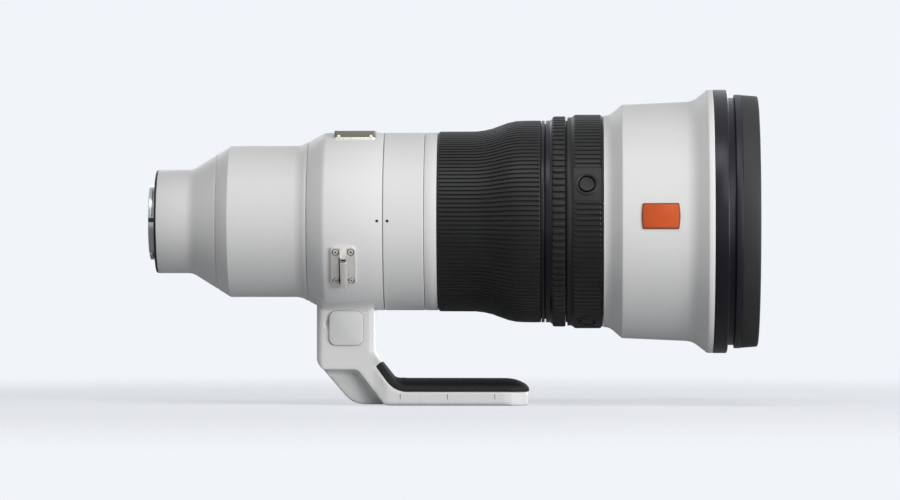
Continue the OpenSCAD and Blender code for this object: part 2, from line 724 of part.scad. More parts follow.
module iris_ring() color(metal) difference() {
    ring(iris_ring_x, iris_ring_x + iris_ring_t, blade_in, iris_ring_out);
    for (i = [0 : iris_count - 1]) at_angle(i * 360 / iris_count + drive_angle)
        translate([iris_ring_x - over, -ear_place - ear_r, -blade_pin_r - 2 * run_fit])
            cube([iris_ring_t + 2 * over, 4 * ear_r, 2 * blade_pin_r + 4 * run_fit]);
}

// Collar: cone, bearing lands and relief inside
collar_round = 6;
land_len = 9;
relief = 0.6;
function collar_skin(grow) = [
    [x_collar + seam - grow, housing_end_r + (seam - grow) * tan(collar_cone_angle) + grow, 0],
    [x_collar + collar_cone_front, body_r + grow, collar_round],
    [x_switch - seam + grow, body_r + grow, 0]];

module collar_ring() color(paint)
    turned(rounded(concat(collar_skin(0), [
        [x_switch - seam, journal_r + run_fit, 0],
        [x_switch - seam - land_len, journal_r + run_fit, 0],
        [x_switch - seam - land_len, journal_r + relief, 0],
        [x_collar + seam + land_len, journal_r + relief, 0],
        [x_collar + seam + land_len, journal_r + run_fit, 0],
        [x_collar + seam, journal_r + run_fit, 0]])));

name_plate_inset = 5.5;
name_plate_x = x_switch - name_plate_inset - name_plate_len / 2;
name_plate_hw = body_r * sin(name_plate_angle);
name_plate_corner = 2;
module name_plate() color(khaki)
    curved_plate([[x_collar, body_r + seat_gap], [x_switch, body_r + seat_gap],
                  [x_switch, body_r + plate_proud], [x_collar, body_r + plate_proud]],
                 name_plate_x, plate_outline(name_plate_len, 2 * name_plate_hw, name_plate_corner), 90);

// Strap lugs: a curved plate with a raised bridge that leaves a slot for the strap
lug_place = 21.7;
lug_x = x_collar + lug_place;
lug_plate_t = 1.2;
lug_corner = 4;
lug_r = body_r + lug_plate_t;
slot_h = 2.1;
slot_half = 5.5;
ramp = 3.4;
module strap_lug() {
    curved_plate([[x_collar, body_r + seat_gap], [x_switch, body_r + seat_gap],
                  [x_switch, lug_r], [x_collar, lug_r]],
                 lug_x, plate_outline(lug_len, lug_width, lug_corner), 0);
    difference() {
        translate([lug_x - bridge_w / 2, 0, 0]) rotate([90, 0, 90]) linear_extrude(bridge_w) polygon(rounded([
            [-body_r - seat_gap, -slot_half - ramp - lug_corner / 2, 0],
            [-lug_r - bridge_h, -slot_half + edge, ramp / 2],
            [-lug_r - bridge_h, slot_half - edge, ramp / 2],
            [-body_r - seat_gap, slot_half + ramp + lug_corner / 2, 0]]));
        translate([lug_x, 0, 0]) outward(plate_outline(lug_len, 2 * slot_half, 0), lug_r, lug_r + slot_h);
        ring(x_collar, x_switch, 0, body_r + seat_gap);
    }
}
module strap_lugs() color(metal) {
    at_angle(-lug_angle) strap_lug();
    at_angle(180 + lug_angle) strap_lug();
}

// Foot: outlines in X and Z, from the heel round to the plate and up the inner face
neck_x0 = x_collar + neck_rear_inset;
neck_x1 = x_switch - neck_front_inset;
plate_x1 = neck_x1 + plate_reach;
plate_top = plate_t - foot_depth;
web_lift = 0.5;
step_run = 8;
heel_round = 7.7;
toe_round = 15;
inner_round = 8;
seat_run = 12.2;
seat_len = 18.9;
seat_round = 7;
foot_chamfer = 1.5;
neck_top = journal_r;
toe_x = neck_x0 + (heel_height - web_lift) * tan(heel_angle);
slope = [sin(inner_angle), -cos(inner_angle)];
slope_out = [cos(inner_angle), sin(inner_angle)];
seat_low = [neck_x1 + seat_run, plate_top];
seat_high = seat_low - slope * seat_len;
pad_high = seat_high + slope_out * pad_t;
inner_z = pad_high[1] + (pad_high[0] - neck_x1) / tan(inner_angle);
foot_side = rounded([
    [neck_x0, -neck_top, 0], [neck_x0, heel_height - foot_depth, heel_round],
    [toe_x, web_lift - foot_depth, toe_round], [neck_x1 + step_run, web_lift - foot_depth, 0],
    [neck_x1 + step_run + web_lift, -foot_depth, 0], [plate_x1, -foot_depth, 0], [plate_x1, plate_top, 0],
    [seat_low[0], seat_low[1], seat_round], [seat_high[0], seat_high[1], 0], [pad_high[0], pad_high[1], 0],
    [neck_x1, inner_z, inner_round], [neck_x1, -neck_top, 0]]);
lower_plan = rounded([
    [neck_x0, -foot_neck_hw, neck_round], [neck_x1, -foot_neck_hw, seat_round],
    [neck_x1 + step_run, -plate_hw, seat_round], [plate_x1, -plate_hw, plate_corner],
    [plate_x1, plate_hw, plate_corner], [neck_x1 + step_run, plate_hw, seat_round],
    [neck_x1, foot_neck_hw, seat_round], [neck_x0, foot_neck_hw, neck_round]]);
front_view = [
    [-plate_hw, inner_z], [-plate_hw, foot_chamfer - foot_depth], [foot_chamfer - plate_hw, -foot_depth],
    [plate_hw - foot_chamfer, -foot_depth], [plate_hw, foot_chamfer - foot_depth], [plate_hw, inner_z]];

// Scoop in the side of the heel web
scoop_top = 21.2;
scoop_run = 21;
scoop_round = 4;
scoop_depth = 6.5;
scoop = rounded([
    [neck_x0 - step_run, scoop_top - foot_depth, 0],
    [neck_x0 + scoop_run, scoop_top - foot_depth, scoop_round],
    [neck_x0 + scoop_run + (scoop_top + step_run) * tan(heel_angle), -step_run - foot_depth, 0],
    [neck_x0 - step_run, -step_run - foot_depth, 0]]);

thread_x = neck_x1 + 1.9 * step_run + edge;
cap_x = neck_x0 + (neck_x1 - neck_x0) / 2 + edge;
cap_z = -body_r - cap_side / 2 - edge;
cap_corner = 4;
knob_bore_depth = foot_neck_hw;

module foot() color(paint) difference() {
    union() {
        intersection() {
            outward(foot_side, -foot_neck_hw, foot_neck_hw);
            translate([(neck_x0 + neck_x1) / 2, 0, -foot_depth]) linear_extrude(foot_depth)
                polygon(plate_outline(neck_x1 - neck_x0, 2 * foot_neck_hw, neck_round));
        }
        intersection() {
            outward(foot_side, -plate_hw, plate_hw);
            translate([0, 0, -foot_depth]) linear_extrude(foot_depth + inner_z) polygon(lower_plan);
            rotate([90, 0, 90]) linear_extrude(plate_x1) polygon(front_view);
        }
    }
    turned(concat(collar_skin(seat_gap), [[x_switch, 0], [x_collar, 0]]));
    outward(scoop, foot_neck_hw - scoop_depth, plate_hw + over);
    outward(scoop, -plate_hw - over, scoop_depth - foot_neck_hw);
    for (i = [0 : 2]) translate([thread_x + i * thread_pitch, 0, -foot_depth - over])
        cylinder(r = i == 1 ? large_thread_r : small_thread_r, h = thread_depth + over);
    translate([cap_x, foot_neck_hw + over, cap_z])
        rotate([90, 0, 0]) cylinder(r = lock_screw_r + run_fit, h = knob_bore_depth + over);
}

// Rubber pad: a crowned strip on the plate and a leg up the inner slope
crown_z = plate_top + pad_crown;
pad_nose = 12.4;
pad_drop = 4.5;
pad_over = 0.9;
pad_hw = plate_hw - edge;
pad_low = pad_high + slope * ((pad_high[1] - crown_z) / cos(inner_angle));
pad_side_view = rounded([
    [pad_high[0], pad_high[1], 0], [pad_low[0], pad_low[1], inner_round],
    [plate_x1 + pad_over - pad_nose, crown_z, toe_round],
    [plate_x1 + pad_over - edge, crown_z - pad_drop, web_lift], [plate_x1 + pad_over, plate_top, 0],
    [seat_low[0], seat_low[1], seat_round], [seat_high[0], seat_high[1], 0]]);
function crown(half, low, high, steps = 6) = concat(
    [[-half, 0]],
    [for (i = [-steps : steps]) let (s = i / steps) [half * s, low + (high - low) * (1 - s * s)]],
    [[half, 0]]);

module foot_pad() color(rubber) {
    intersection() {
        outward(pad_side_view, -plate_hw, plate_hw);
        translate([0, 0, plate_top]) rotate([90, 0, 90])
            linear_extrude(plate_x1 + pad_over) polygon(crown(pad_hw, pad_side, pad_crown));
        translate([0, 0, -foot_depth]) linear_extrude(foot_depth) polygon(rounded([
            [seat_high[0], -pad_hw, 0], [plate_x1 + pad_over, -pad_hw, plate_corner],
            [plate_x1 + pad_over, pad_hw, plate_corner], [seat_high[0], pad_hw, 0]]));
    }
    intersection() {
        outward(pad_side_view, -plate_hw, plate_hw);
        translate([seat_high[0], 0, seat_high[1]]) rotate([0, 90 - inner_angle, 0]) rotate([90, 0, 90])
            linear_extrude(seat_len) polygon(crown(foot_neck_hw - edge, pad_side, pad_t));
    }
}

module foot_cap() color(paint)
    translate([cap_x, 0, cap_z])
        outward(plate_outline(cap_side, cap_side, cap_corner), foot_neck_hw, foot_neck_hw + cap_t);

// Lock knob: screw, collar and a head with flutes
flute_count = 12;
flute_r = 1.3;
knob_gap = 0.4;
module lock_knob() color(black) translate([cap_x, foot_neck_hw, cap_z]) rotate([-90, 0, 0]) difference() {
    union() {
        translate([0, 0, knob_gap]) cylinder(r = knob_r - web_t, h = web_t);
        translate([0, 0, web_t]) cylinder(r = knob_r, h = knob_h - web_t);
        translate([0, 0, 2 * web_t - knob_bore_depth]) cylinder(r = lock_screw_r, h = knob_bore_depth);
    }
    for (i = [0 : flute_count - 1]) rotate([0, 0, i * 360 / flute_count])
        translate([knob_r + flute_r / 2, 0, web_t - over]) cylinder(r = flute_r, h = knob_h + over);
}

// Switch barrel, with a pocket for each switch behind the panel on the left side
switch_wall = 4;
switch_in = body_r - switch_wall;
switch_x = x_switch + switch_len / 2;
switch_side = 180;
switch_step = 11;
base_t = 1.5;
base_lap = 1.3;
switch_gap = 0.2;
pocket_r = body_r - base_t - 3 * switch_gap;
knob_top = body_r + 2.8 * plate_proud;
switch_order = [-3, -2, -1, 0, 1, 2, 3];
function switch_angle(i) = switch_side + switch_order[i] * switch_step;

module switch_pocket() translate([switch_x, 0, 0]) outward(
    plate_outline(switch_knob_len + switch_travel + 2 * base_lap + 2 * switch_gap,
                  switch_knob_w + 2 * base_lap + 2 * switch_gap, 0), pocket_r, body_r + over);
module switch_slot() translate([switch_x, 0, 0]) outward(
    plate_outline(switch_knob_len + switch_travel + 2 * switch_gap, switch_knob_w + 2 * switch_gap, edge),
    pocket_r, knob_top);

module switch_barrel() color(paint) difference() {
    turned([[x_switch, journal_clear], [x_switch, body_r - edge], [x_switch + edge, body_r],
            [x_spacer - edge, body_r], [x_spacer, body_r - edge], [x_spacer, journal_clear],
            [x_spacer - web_t, journal_clear], [x_spacer - web_t, switch_in],
            [x_switch + web_t, switch_in], [x_switch + web_t, journal_clear]]);
    for (i = [0 : 5]) at_angle(switch_angle(i)) switch_pocket();
    at_angle(switch_angle(6)) spoke(switch_x, pocket_r, body_r + over, set_button_r + base_lap + switch_gap);
}

panel_len = switch_len - 8 * edge;
panel_hw = body_r * sin(panel_angle);
module switch_panel() color(black) difference() {
    curved_plate([[x_switch, body_r + seat_gap], [x_spacer, body_r + seat_gap],
                  [x_spacer, body_r + plate_proud], [x_switch, body_r + plate_proud]],
                 switch_x, plate_outline(panel_len, 2 * panel_hw, slot_corner), switch_side);
    for (i = [0 : 5]) at_angle(switch_angle(i)) switch_slot();
    at_angle(switch_angle(6)) spoke(switch_x, pocket_r, knob_top, set_button_r + run_fit);
}

// Sliding switch: a knob on a base plate that stays behind the panel. It rests at the rear
module slide_switch(i) color(metal) at_angle(switch_angle(i))
translate([switch_x - switch_travel / 2, 0, 0]) {
    outward(plate_outline(switch_knob_len, switch_knob_w, edge), pocket_r + switch_gap, knob_top);
    outward(plate_outline(switch_knob_len + 2 * base_lap, switch_knob_w + 2 * base_lap, edge),
            pocket_r + switch_gap, pocket_r + base_t);
}
module focus_mode_switch() slide_switch(0);
module manual_override_switch() slide_switch(1);
module focus_limit_switch() slide_switch(2);
module stabiliser_switch() slide_switch(3);
module stabiliser_mode_switch() slide_switch(4);
module function_switch() slide_switch(5);
set_travel = 0.5;
module set_button() color(metal) at_angle(switch_angle(6)) {
    spoke(switch_x, pocket_r + switch_gap + set_travel, knob_top - plate_proud, set_button_r);
    spoke(switch_x, pocket_r + switch_gap + set_travel, body_r - switch_gap, set_button_r + base_lap / 2);
}

module spacer_ring() color(paint)
    turned([[x_spacer, tube_r + seat_gap], [x_spacer, body_r - edge], [x_spacer + edge, body_r],
            [x_focus - edge - seam, body_r], [x_focus - seam, body_r - edge],
            [x_focus - seam, tube_r + seat_gap]]);

// Grip tube: carries the focus ring, the function ring and the button ring, and holds the guide
// rods of the focusing group between two inner webs
tube_in = tube_r - tube_wall;
tube_front_in = tube_front_r - tube_wall;
x_group = x_front + 1.25 * web_t;
rod_web_r = focus_glass_r + 1.6 * tube_wall;
rod_place = rod_web_r + tube_wall + rod_r;
rod_x0 = x_spacer + web_t;
rod_x1 = x_flare + 0.625 * flare_len;
function tube_in_at(x) = tube_in + flare_rise * (x - x_flare) / flare_len;
group_flange = 1.9;

module grip_tube() color(dark_metal) difference() {
    turned([
        [x_spacer, tube_in], [x_spacer, tube_r], [x_flare, tube_r], [x_flare_end, tube_front_r],
        [x_group, tube_front_r], [x_group, tube_front_r + group_flange],
        [x_group + web_t, tube_front_r + group_flange], [x_group + web_t, tube_front_in],
        [x_flare_end, tube_front_in], [rod_x1, tube_in_at(rod_x1)], [rod_x1, rod_web_r],
        [rod_x1 - web_t, rod_web_r], [rod_x1 - web_t, tube_in_at(rod_x1 - web_t)],
        [x_flare, tube_in], [rod_x0 + web_t, tube_in], [rod_x0 + web_t, rod_web_r],
        [rod_x0, rod_web_r], [rod_x0, tube_in]]);
    for (i = [0 : 2]) at_angle(120 * i) axial(rod_x0 - over, rod_x1 + over, rod_place, rod_r + seat_gap);
}

module guide_rods() color(metal) for (i = [0 : 2]) at_angle(120 * i) axial(rod_x0, rod_x1, rod_place, rod_r);

focus_cell_x = (rod_x0 + web_t + rod_x1 - web_t - focus_cell_len) / 2;
focus_cell_out = focus_glass_r + tube_wall;
focus_ear_r = 2.4 * rod_r;
focus_glass_t = 6.5;
module focus_cell() color(black) difference() {
    union() {
        ring(focus_cell_x, focus_cell_x + focus_cell_len, focus_glass_r - cell_lip, focus_cell_out);
        for (i = [0 : 2]) at_angle(120 * i) {
            axial(focus_cell_x, focus_cell_x + focus_cell_len, rod_place, focus_ear_r);
            translate([focus_cell_x, -rod_place, -focus_ear_r])
                cube([focus_cell_len, rod_place - focus_glass_r, 2 * focus_ear_r]);
        }
    }
    ring(focus_cell_x + web_t, focus_cell_x + focus_cell_len + over, 0, focus_glass_r + seat_gap);
    for (i = [0 : 2]) at_angle(120 * i)
        axial(focus_cell_x - over, focus_cell_x + focus_cell_len + over, rod_place, rod_r + run_fit);
}
module focus_element() color(glass)
    lens(focus_cell_x + web_t, focus_cell_x + web_t + focus_glass_t, -web_t, -web_t, focus_glass_r);

// Focus ring: metal sleeve on two bearings, with a lip in front of the rubber
sleeve_r = bearing_r + sleeve_wall;
sleeve_front_r = bearing_front_r + sleeve_wall;
flare_relief = 0.4;
module focus_sleeve() color(black)
    turned([
        [x_focus, bearing_r], [x_focus, sleeve_r], [x_flare, sleeve_r], [x_flare_end, sleeve_front_r],
        [x_lip + seam, sleeve_front_r], [x_lip + seam, lip_r - edge], [x_lip + seam + edge, lip_r],
        [x_lip + seam + focus_lip_len - edge, lip_r], [x_lip + seam + focus_lip_len, lip_r - edge],
        [x_lip + seam + focus_lip_len, bearing_front_r], [x_flare_end + web_t, bearing_front_r],
        [x_flare_end, bearing_front_r + flare_relief], [x_flare, bearing_r + flare_relief],
        [x_flare - web_t, bearing_r]]);

flare_steps = 4;
end_round = 1.2;
module focus_grip() color(rubber)
    ribbed_ring(
        concat([[x_focus, grip_r - end_round, groove_depth / 2], [x_focus + end_round, grip_r, groove_depth]],
               [for (i = [0 : flare_steps]) let (s = i / flare_steps)
                   [x_flare + flare_len * s, grip_r + flare_rise * (1 - cos(180 * s)) / 2, groove_depth]],
               [[x_lip, lip_r - edge, groove_depth]]),
        [[x_focus, sleeve_r + seat_gap], [x_flare, sleeve_r + seat_gap],
         [x_flare_end, sleeve_front_r + seat_gap], [x_lip, sleeve_front_r + seat_gap]],
        focus_ribs);

// Function ring: plain rear band, then a seat for its ribbed rubber
function_band = 2.4;
function_ramp = 1.1;
x_function_seat = x_function + function_band + 1.3 * function_ramp;
x_function_end = x_function + function_len;
module function_ring() color(black)
    turned([[x_function, bearing_front_r], [x_function, lip_r - edge], [x_function + edge, lip_r],
            [x_function + function_band, lip_r], [x_function_seat, lip_r + function_ramp],
            [x_function_seat, lip_r], [x_function_end, lip_r], [x_function_end, bearing_front_r]]);
module function_grip() color(rubber)
    ribbed_ring([[x_function_seat + seat_gap, lip_r + function_ramp, groove_depth / 2],
                 [x_function_seat + function_ramp, function_r, groove_depth],
                 [x_function_end - edge, function_r, groove_depth],
                 [x_function_end, function_r - edge, groove_depth / 2]],
                [[x_function_seat + seat_gap, lip_r + seat_gap], [x_function_end, lip_r + seat_gap]],
                function_ribs);

// Button ring: fixed, with four bosses that stand through its ribbed rubber
button_x = x_button + 0.54 * button_ring_len;
boss_r = button_r + button_moat + button_rim;
boss_top = button_top_r + edge;
button_stem_r = 0.64 * button_r;
moat_floor = lip_r - edge / 4;
rear_lip_len = 2.2;
front_lip_len = 2;
rear_lip_drop = 1.6;
rubber_ramp = 2.2;
rubber_drop = 1;
rubber_x0 = x_button + rear_lip_len;
rubber_x1 = x_button + button_ring_len - front_lip_len;
core_r = lip_r + 2 * edge;
rear_lip_r = button_top_r - rear_lip_drop;
front_lip_r = front_rear_r - seam;
function hold_angle(i) = button_angle + 90 * i;

module button_ring() color(black) difference() {
    union() {
        turned([[x_button, tube_front_r + seat_gap], [x_button, rear_lip_r - edge],
                [x_button + edge, rear_lip_r], [rubber_x0, rear_lip_r], [rubber_x0, core_r],
                [rubber_x1, core_r], [rubber_x1, front_lip_r], [x_button + button_ring_len, front_lip_r],
                [x_button + button_ring_len, tube_front_r + seat_gap]]);
        for (i = [0 : 3]) at_angle(hold_angle(i)) spoke(button_x, lip_r, boss_top, boss_r);
    }
    for (i = [0 : 3]) at_angle(hold_angle(i)) {
        spoke(button_x, moat_floor, boss_top + over, button_r + button_moat);
        spoke(button_x, tube_in, boss_top, button_stem_r + run_fit);
    }
}

pad_half_angle = 9.9;
module button_grip() color(rubber) difference() {
    ribbed_ring([[rubber_x0 + seat_gap, rear_lip_r, groove_depth / 2],
                 [rubber_x0 + rubber_ramp, button_top_r, groove_depth],
                 [rubber_x1 - end_round, button_top_r, groove_depth],
                 [rubber_x1 - seat_gap, button_top_r - rubber_drop, groove_depth / 2]],
                [[rubber_x0 + seat_gap, core_r + seat_gap], [rubber_x1 - seat_gap, core_r + seat_gap]],
                button_ribs, [for (i = [0 : 3]) hold_angle(i)], pad_half_angle);
    for (i = [0 : 3]) at_angle(hold_angle(i)) spoke(button_x, lip_r, boss_top + over, boss_r + seat_gap);
}

cap_floor = moat_floor + button_travel + edge;
cap_top = boss_top - edge;
stem_bottom = tube_front_r + button_travel + edge;
module hold_button(i) color(rubber) at_angle(hold_angle(i)) {
    spoke(button_x, cap_floor, cap_top, button_r);
    spoke(button_x, stem_bottom, cap_floor + edge, button_stem_r);
}
module hold_button_right() hold_button(0);
module hold_button_top() hold_button(1);
module hold_button_left() hold_button(2);
module hold_button_bottom() hold_button(3);

// Front barrel: rear wall on the grip tube, shoulder, taper, flare and rim
front_straight = 3.3;
shoulder_foot_round = 2.5;
shoulder_round = 1.5;
flare_foot_round = 3;
flare_round = 1.6;
x_shoulder = x_front + front_straight;
x_shoulder_end = x_shoulder + shoulder_rise / tan(shoulder_angle);
x_rim_end = x_rim - rim_straight;
x_flare_foot = x_rim_end - rim_rise / tan(rim_angle);
module front_barrel() color(paint)
    turned(rounded([
        [x_front, tube_front_r + seat_gap, 0], [x_front, front_rear_r - edge, 0],
        [x_front + edge, front_rear_r, 0], [x_shoulder, front_rear_r, shoulder_foot_round],
        [x_shoulder_end, shoulder_r, shoulder_round], [x_flare_foot, taper_r, flare_foot_round],
        [x_rim_end, rim_r, flare_round], [x_rim, rim_r + edge / 4, 0],
        [x_rim, rim_r - shell_wall, 0], [x_rim_end, rim_r - shell_wall, 0],
        [x_flare_foot + shell_wall / 2, taper_r - shell_wall, 0],
        [x_shoulder_end + shell_wall / 2, shoulder_r - shell_wall, 0],
        [x_group + shell_wall / 2, front_rear_r - shell_wall, 0], [x_group, front_rear_r - shell_wall, 0],
        [x_group, tube_front_r + seat_gap, 0]]));

badge_x = x_shoulder_end + 0.525 * (x_flare_foot - x_shoulder_end);
badge_z = 3.4;
badge_t = 0.5;
badge_corner = 2.5;
taper_slope = taper_rise / (x_flare_foot - x_shoulder_end);
function taper_at(x) = shoulder_r + (x - x_shoulder_end) * taper_slope;
module accent_badge() color(accent)
    intersection() {
        turned([for (p = [[badge_x - badge_len, seat_gap], [badge_x + badge_len, seat_gap],
                          [badge_x + badge_len, badge_t], [badge_x - badge_len, badge_t]])
                [p[0], taper_at(p[0]) + p[1]]]);
        translate([badge_x, 0, badge_z])
            outward(plate_outline(badge_len, badge_h, badge_corner), 0, 2 * rim_r);
    }

// Front group: a stepped cell in the front barrel that holds two elements
group_x = x_group + web_t;
group_rear_r = tube_front_r + edge;
group_step_x = group_x + group_rear_len;
group_front_r = shoulder_r - shell_wall - 4 * edge;
group_lip = 2.5;
group_glass_t = 10;
module group_cell() color(black)
    turned([
        [group_x, tube_front_in], [group_x, tube_front_r + group_flange],
        [group_x + web_t, tube_front_r + group_flange],
        [group_x + web_t, group_rear_r], [group_step_x, group_rear_r], [group_step_x, group_front_r],
        [group_step_x + group_front_len, group_front_r],
        [group_step_x + group_front_len, group_front_r - tube_wall],
        [group_step_x + web_t, group_front_r - tube_wall],
        [group_step_x + web_t, group_rear_r - tube_wall - group_lip],
        [group_step_x - web_t, group_rear_r - tube_wall - group_lip],
        [group_step_x - web_t, group_rear_r - tube_wall], [group_x, group_rear_r - tube_wall]]);
module group_elements() color(glass) {
    lens(group_step_x - web_t - group_glass_t, group_step_x - web_t, -web_t, 0,
         group_rear_r - tube_wall - seat_gap);
    lens(group_step_x + web_t, group_step_x + web_t + group_glass_t, 0, 2 * web_t,
         group_front_r - tube_wall - seat_gap);
}

// Front rim
stop_r = rim_r + edge / 2;
groove_floor_r = rim_r - stop_depth + edge / 2;
band_r = groove_floor_r + band_rise;
rim_in = groove_floor_r - front_wall;
mouth_lip = 0.8;
aperture_r = rim_in - mouth_lip;
x_groove = x_rim + stop_len;
x_band = x_groove + hood_groove_len;
x_bumper = x_band + band_len;
bumper_t = 2.3;
bumper_in = band_r - bumper_t - edge / 2;
rim_tail = 3;
lip_t = 2;
mouth_flare = 1.5;
x_ring_end = x_tip - edge;
module hood_stop_ring() color(black)
    turned([[x_rim + edge / 4, groove_floor_r + seat_gap], [x_rim + edge / 4, stop_r - edge],
            [x_rim + edge, stop_r], [x_groove - edge, stop_r], [x_groove, stop_r - edge],
            [x_groove, groove_floor_r + seat_gap]]);
module front_ring() color(black)
    turned([[x_rim - rim_tail, rim_in], [x_rim - rim_tail, rim_r - shell_wall - seat_gap],
            [x_rim, rim_r - shell_wall - seat_gap], [x_rim, groove_floor_r], [x_band, groove_floor_r],
            [x_band, band_r - edge], [x_band + edge, band_r], [x_bumper, band_r], [x_bumper, bumper_in],
            [x_ring_end, bumper_in], [x_ring_end, aperture_r + mouth_flare], [x_band + lip_t, aperture_r],
            [x_band, aperture_r], [x_band, rim_in]]);
module front_bumper() color(rubber)
    turned(rounded([[x_bumper, bumper_in + seat_gap, 0], [x_bumper, band_r - edge / 2, 0],
                    [x_tip, band_r - 2.5 * edge, end_round], [x_tip, bumper_in - edge, 0],
                    [x_ring_end, bumper_in - edge, 0], [x_ring_end, bumper_in + seat_gap, 0]]));

front_glass_r = rim_in - seat_gap;
front_bulge = front_glass_r * front_glass_r / (2 * front_glass_curve);
module front_element() color(glass)
    lens(x_band - edge - front_glass_t, x_band - edge, -front_bulge, front_bulge, front_glass_r);

bayonet();
mount_seal();
mount_screws();
contact_block();
contact_pins();
rear_barrel();
rear_cell();
rear_element();
main_board();
filter_housing();
filter_holder();
filter_glass();
filter_release();
collar_journal();
stabiliser_base();
stabiliser_frame();
stabiliser_cell();
stabiliser_element();
iris_housing();
iris_blades();
iris_ring();
collar_ring();
name_plate();
strap_lugs();
foot();
foot_pad();
foot_cap();
lock_knob();
switch_barrel();
switch_panel();
focus_mode_switch();
manual_override_switch();
focus_limit_switch();
stabiliser_switch();
stabiliser_mode_switch();
function_switch();
set_button();
spacer_ring();
grip_tube();
guide_rods();
focus_cell();
focus_element();
focus_sleeve();
focus_grip();
function_ring();
function_grip();
button_ring();
button_grip();
hold_button_right();
hold_button_top();
hold_button_left();
hold_button_bottom();
front_barrel();
accent_badge();
group_cell();
group_elements();
hood_stop_ring();
front_ring();
front_bumper();
front_element();
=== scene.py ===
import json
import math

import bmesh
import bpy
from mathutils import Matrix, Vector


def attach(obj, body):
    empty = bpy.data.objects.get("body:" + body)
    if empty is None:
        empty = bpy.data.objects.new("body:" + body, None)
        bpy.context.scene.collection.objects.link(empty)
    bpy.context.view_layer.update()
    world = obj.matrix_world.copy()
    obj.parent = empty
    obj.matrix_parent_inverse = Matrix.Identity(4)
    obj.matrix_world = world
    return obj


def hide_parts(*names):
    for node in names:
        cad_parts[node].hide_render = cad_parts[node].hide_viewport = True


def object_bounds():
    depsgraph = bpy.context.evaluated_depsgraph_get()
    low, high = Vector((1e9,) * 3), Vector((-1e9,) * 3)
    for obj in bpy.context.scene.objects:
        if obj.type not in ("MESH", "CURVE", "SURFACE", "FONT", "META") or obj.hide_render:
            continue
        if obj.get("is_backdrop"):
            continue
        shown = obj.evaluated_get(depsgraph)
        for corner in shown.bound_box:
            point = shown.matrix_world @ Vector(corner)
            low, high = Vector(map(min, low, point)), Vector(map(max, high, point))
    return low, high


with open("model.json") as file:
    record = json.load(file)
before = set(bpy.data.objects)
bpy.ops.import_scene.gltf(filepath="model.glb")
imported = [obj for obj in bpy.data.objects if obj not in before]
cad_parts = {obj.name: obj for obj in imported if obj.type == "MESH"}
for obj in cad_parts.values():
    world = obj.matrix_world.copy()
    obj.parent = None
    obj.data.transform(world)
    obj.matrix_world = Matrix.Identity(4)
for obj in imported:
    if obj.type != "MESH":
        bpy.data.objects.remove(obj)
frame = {"nodes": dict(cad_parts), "record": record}

# %% [markdown]
# # A super telephoto lens
#
# Such a lens is a stack of turned castings on one axis, with a cast foot under it. The solid model already
# has every piece in place, so this file keeps its frame and gives each piece the shape and finish that the
# eye expects: soft edges, ribs that end in a radius, screws, paint, rubber and glass. One could also dress
# the solid model with modifiers alone, but then every edge would look the same. So each visible piece is
# made again from its own profile, in millimetres, in the place where the solid model has it.

MM = 0.001
cad_box = [list(corner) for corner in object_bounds()]
nodes = frame["nodes"]
print("solid model:", len(nodes), "nodes, box", [[round(v, 4) for v in c] for c in cad_box])

# %% [markdown]
# ## Finishes
#
# Every finish is a small tree of shader nodes. A tree can be linked node by node, but that is tedious to
# write and hard to read. So a socket is wrapped in a class that overloads the operators, and
# `grain * 0.3 + 0.5` adds the Math nodes by itself. Any other node comes from one method, `add`.

# %% A socket that can be calculated with


class Socket:
    """An output socket. Arithmetic on it adds Math nodes to its tree."""

    def __init__(self, tree, output):
        self.tree, self.output = tree, output

    def maths(self, operation, other):
        return self.tree.add("ShaderNodeMath", {"operation": operation}, {0: self, 1: other})

    def __add__(self, other):
        return self.maths("ADD", other)

    def __mul__(self, other):
        return self.maths("MULTIPLY", other)

    def above(self, limit):
        return self.maths("GREATER_THAN", limit)


class Tree:
    """A node tree, of a material or of the world."""

    def __init__(self, owner):
        owner.use_nodes = True
        self.nodes, self.links = owner.node_tree.nodes, owner.node_tree.links

    def plug(self, socket, value):
        if isinstance(value, Socket):
            self.links.new(value.output, socket)
        elif socket.type == "RGBA":
            socket.default_value = (*value, 1)
        else:
            socket.default_value = value

    def add(self, kind, settings=None, inputs=None, out=0):
        """Adds a node: first its settings, then the values or links of its sockets."""
        node = self.nodes.new(kind)
        for name, value in (settings or {}).items():
            setattr(node, name, value)
        for key, value in (inputs or {}).items():
            self.plug(node.inputs[key], value)
        return Socket(self, node.outputs[out])


class Look(Tree):
    """One material with a Principled shader, and the few calls that build its pattern."""

    def __init__(self, name, color, roughness, metallic=0.0, **fixed):
        self.material = bpy.data.materials.new(name)
        super().__init__(self.material)
        self.shader = self.nodes["Principled BSDF"]
        self.material.diffuse_color = (*color, 1)
        self.set("Base Color", color)
        self.set("Roughness", roughness)
        self.set("Metallic", metallic)
        for socket, value in fixed.items():
            self.set(socket.replace("_", " "), value)

    def set(self, name, value):
        self.plug(self.shader.inputs[name], value)

    def place(self, scale):
        """Object coordinates, stretched by scale."""
        spot = self.add("ShaderNodeTexCoord", out="Object")
        return self.add("ShaderNodeMapping", inputs={"Vector": spot, "Scale": scale})

    def noise(self, scale, stretch=(1, 1, 1), detail=2.0):
        return self.add("ShaderNodeTexNoise", inputs={
            "Vector": self.place(stretch), "Scale": scale, "Detail": detail})

    def blend(self, factor, first, second):
        """A colour between first and second."""
        return self.add("ShaderNodeMix", {"data_type": "RGBA"},
                        {"Factor": factor, "A": first, "B": second}, out="Result")

    def bump(self, height, distance, strength=1.0):
        self.set("Normal", self.add("ShaderNodeBump", inputs={
            "Height": height, "Distance": distance, "Strength": strength}))


print("sockets can be added, multiplied and compared")

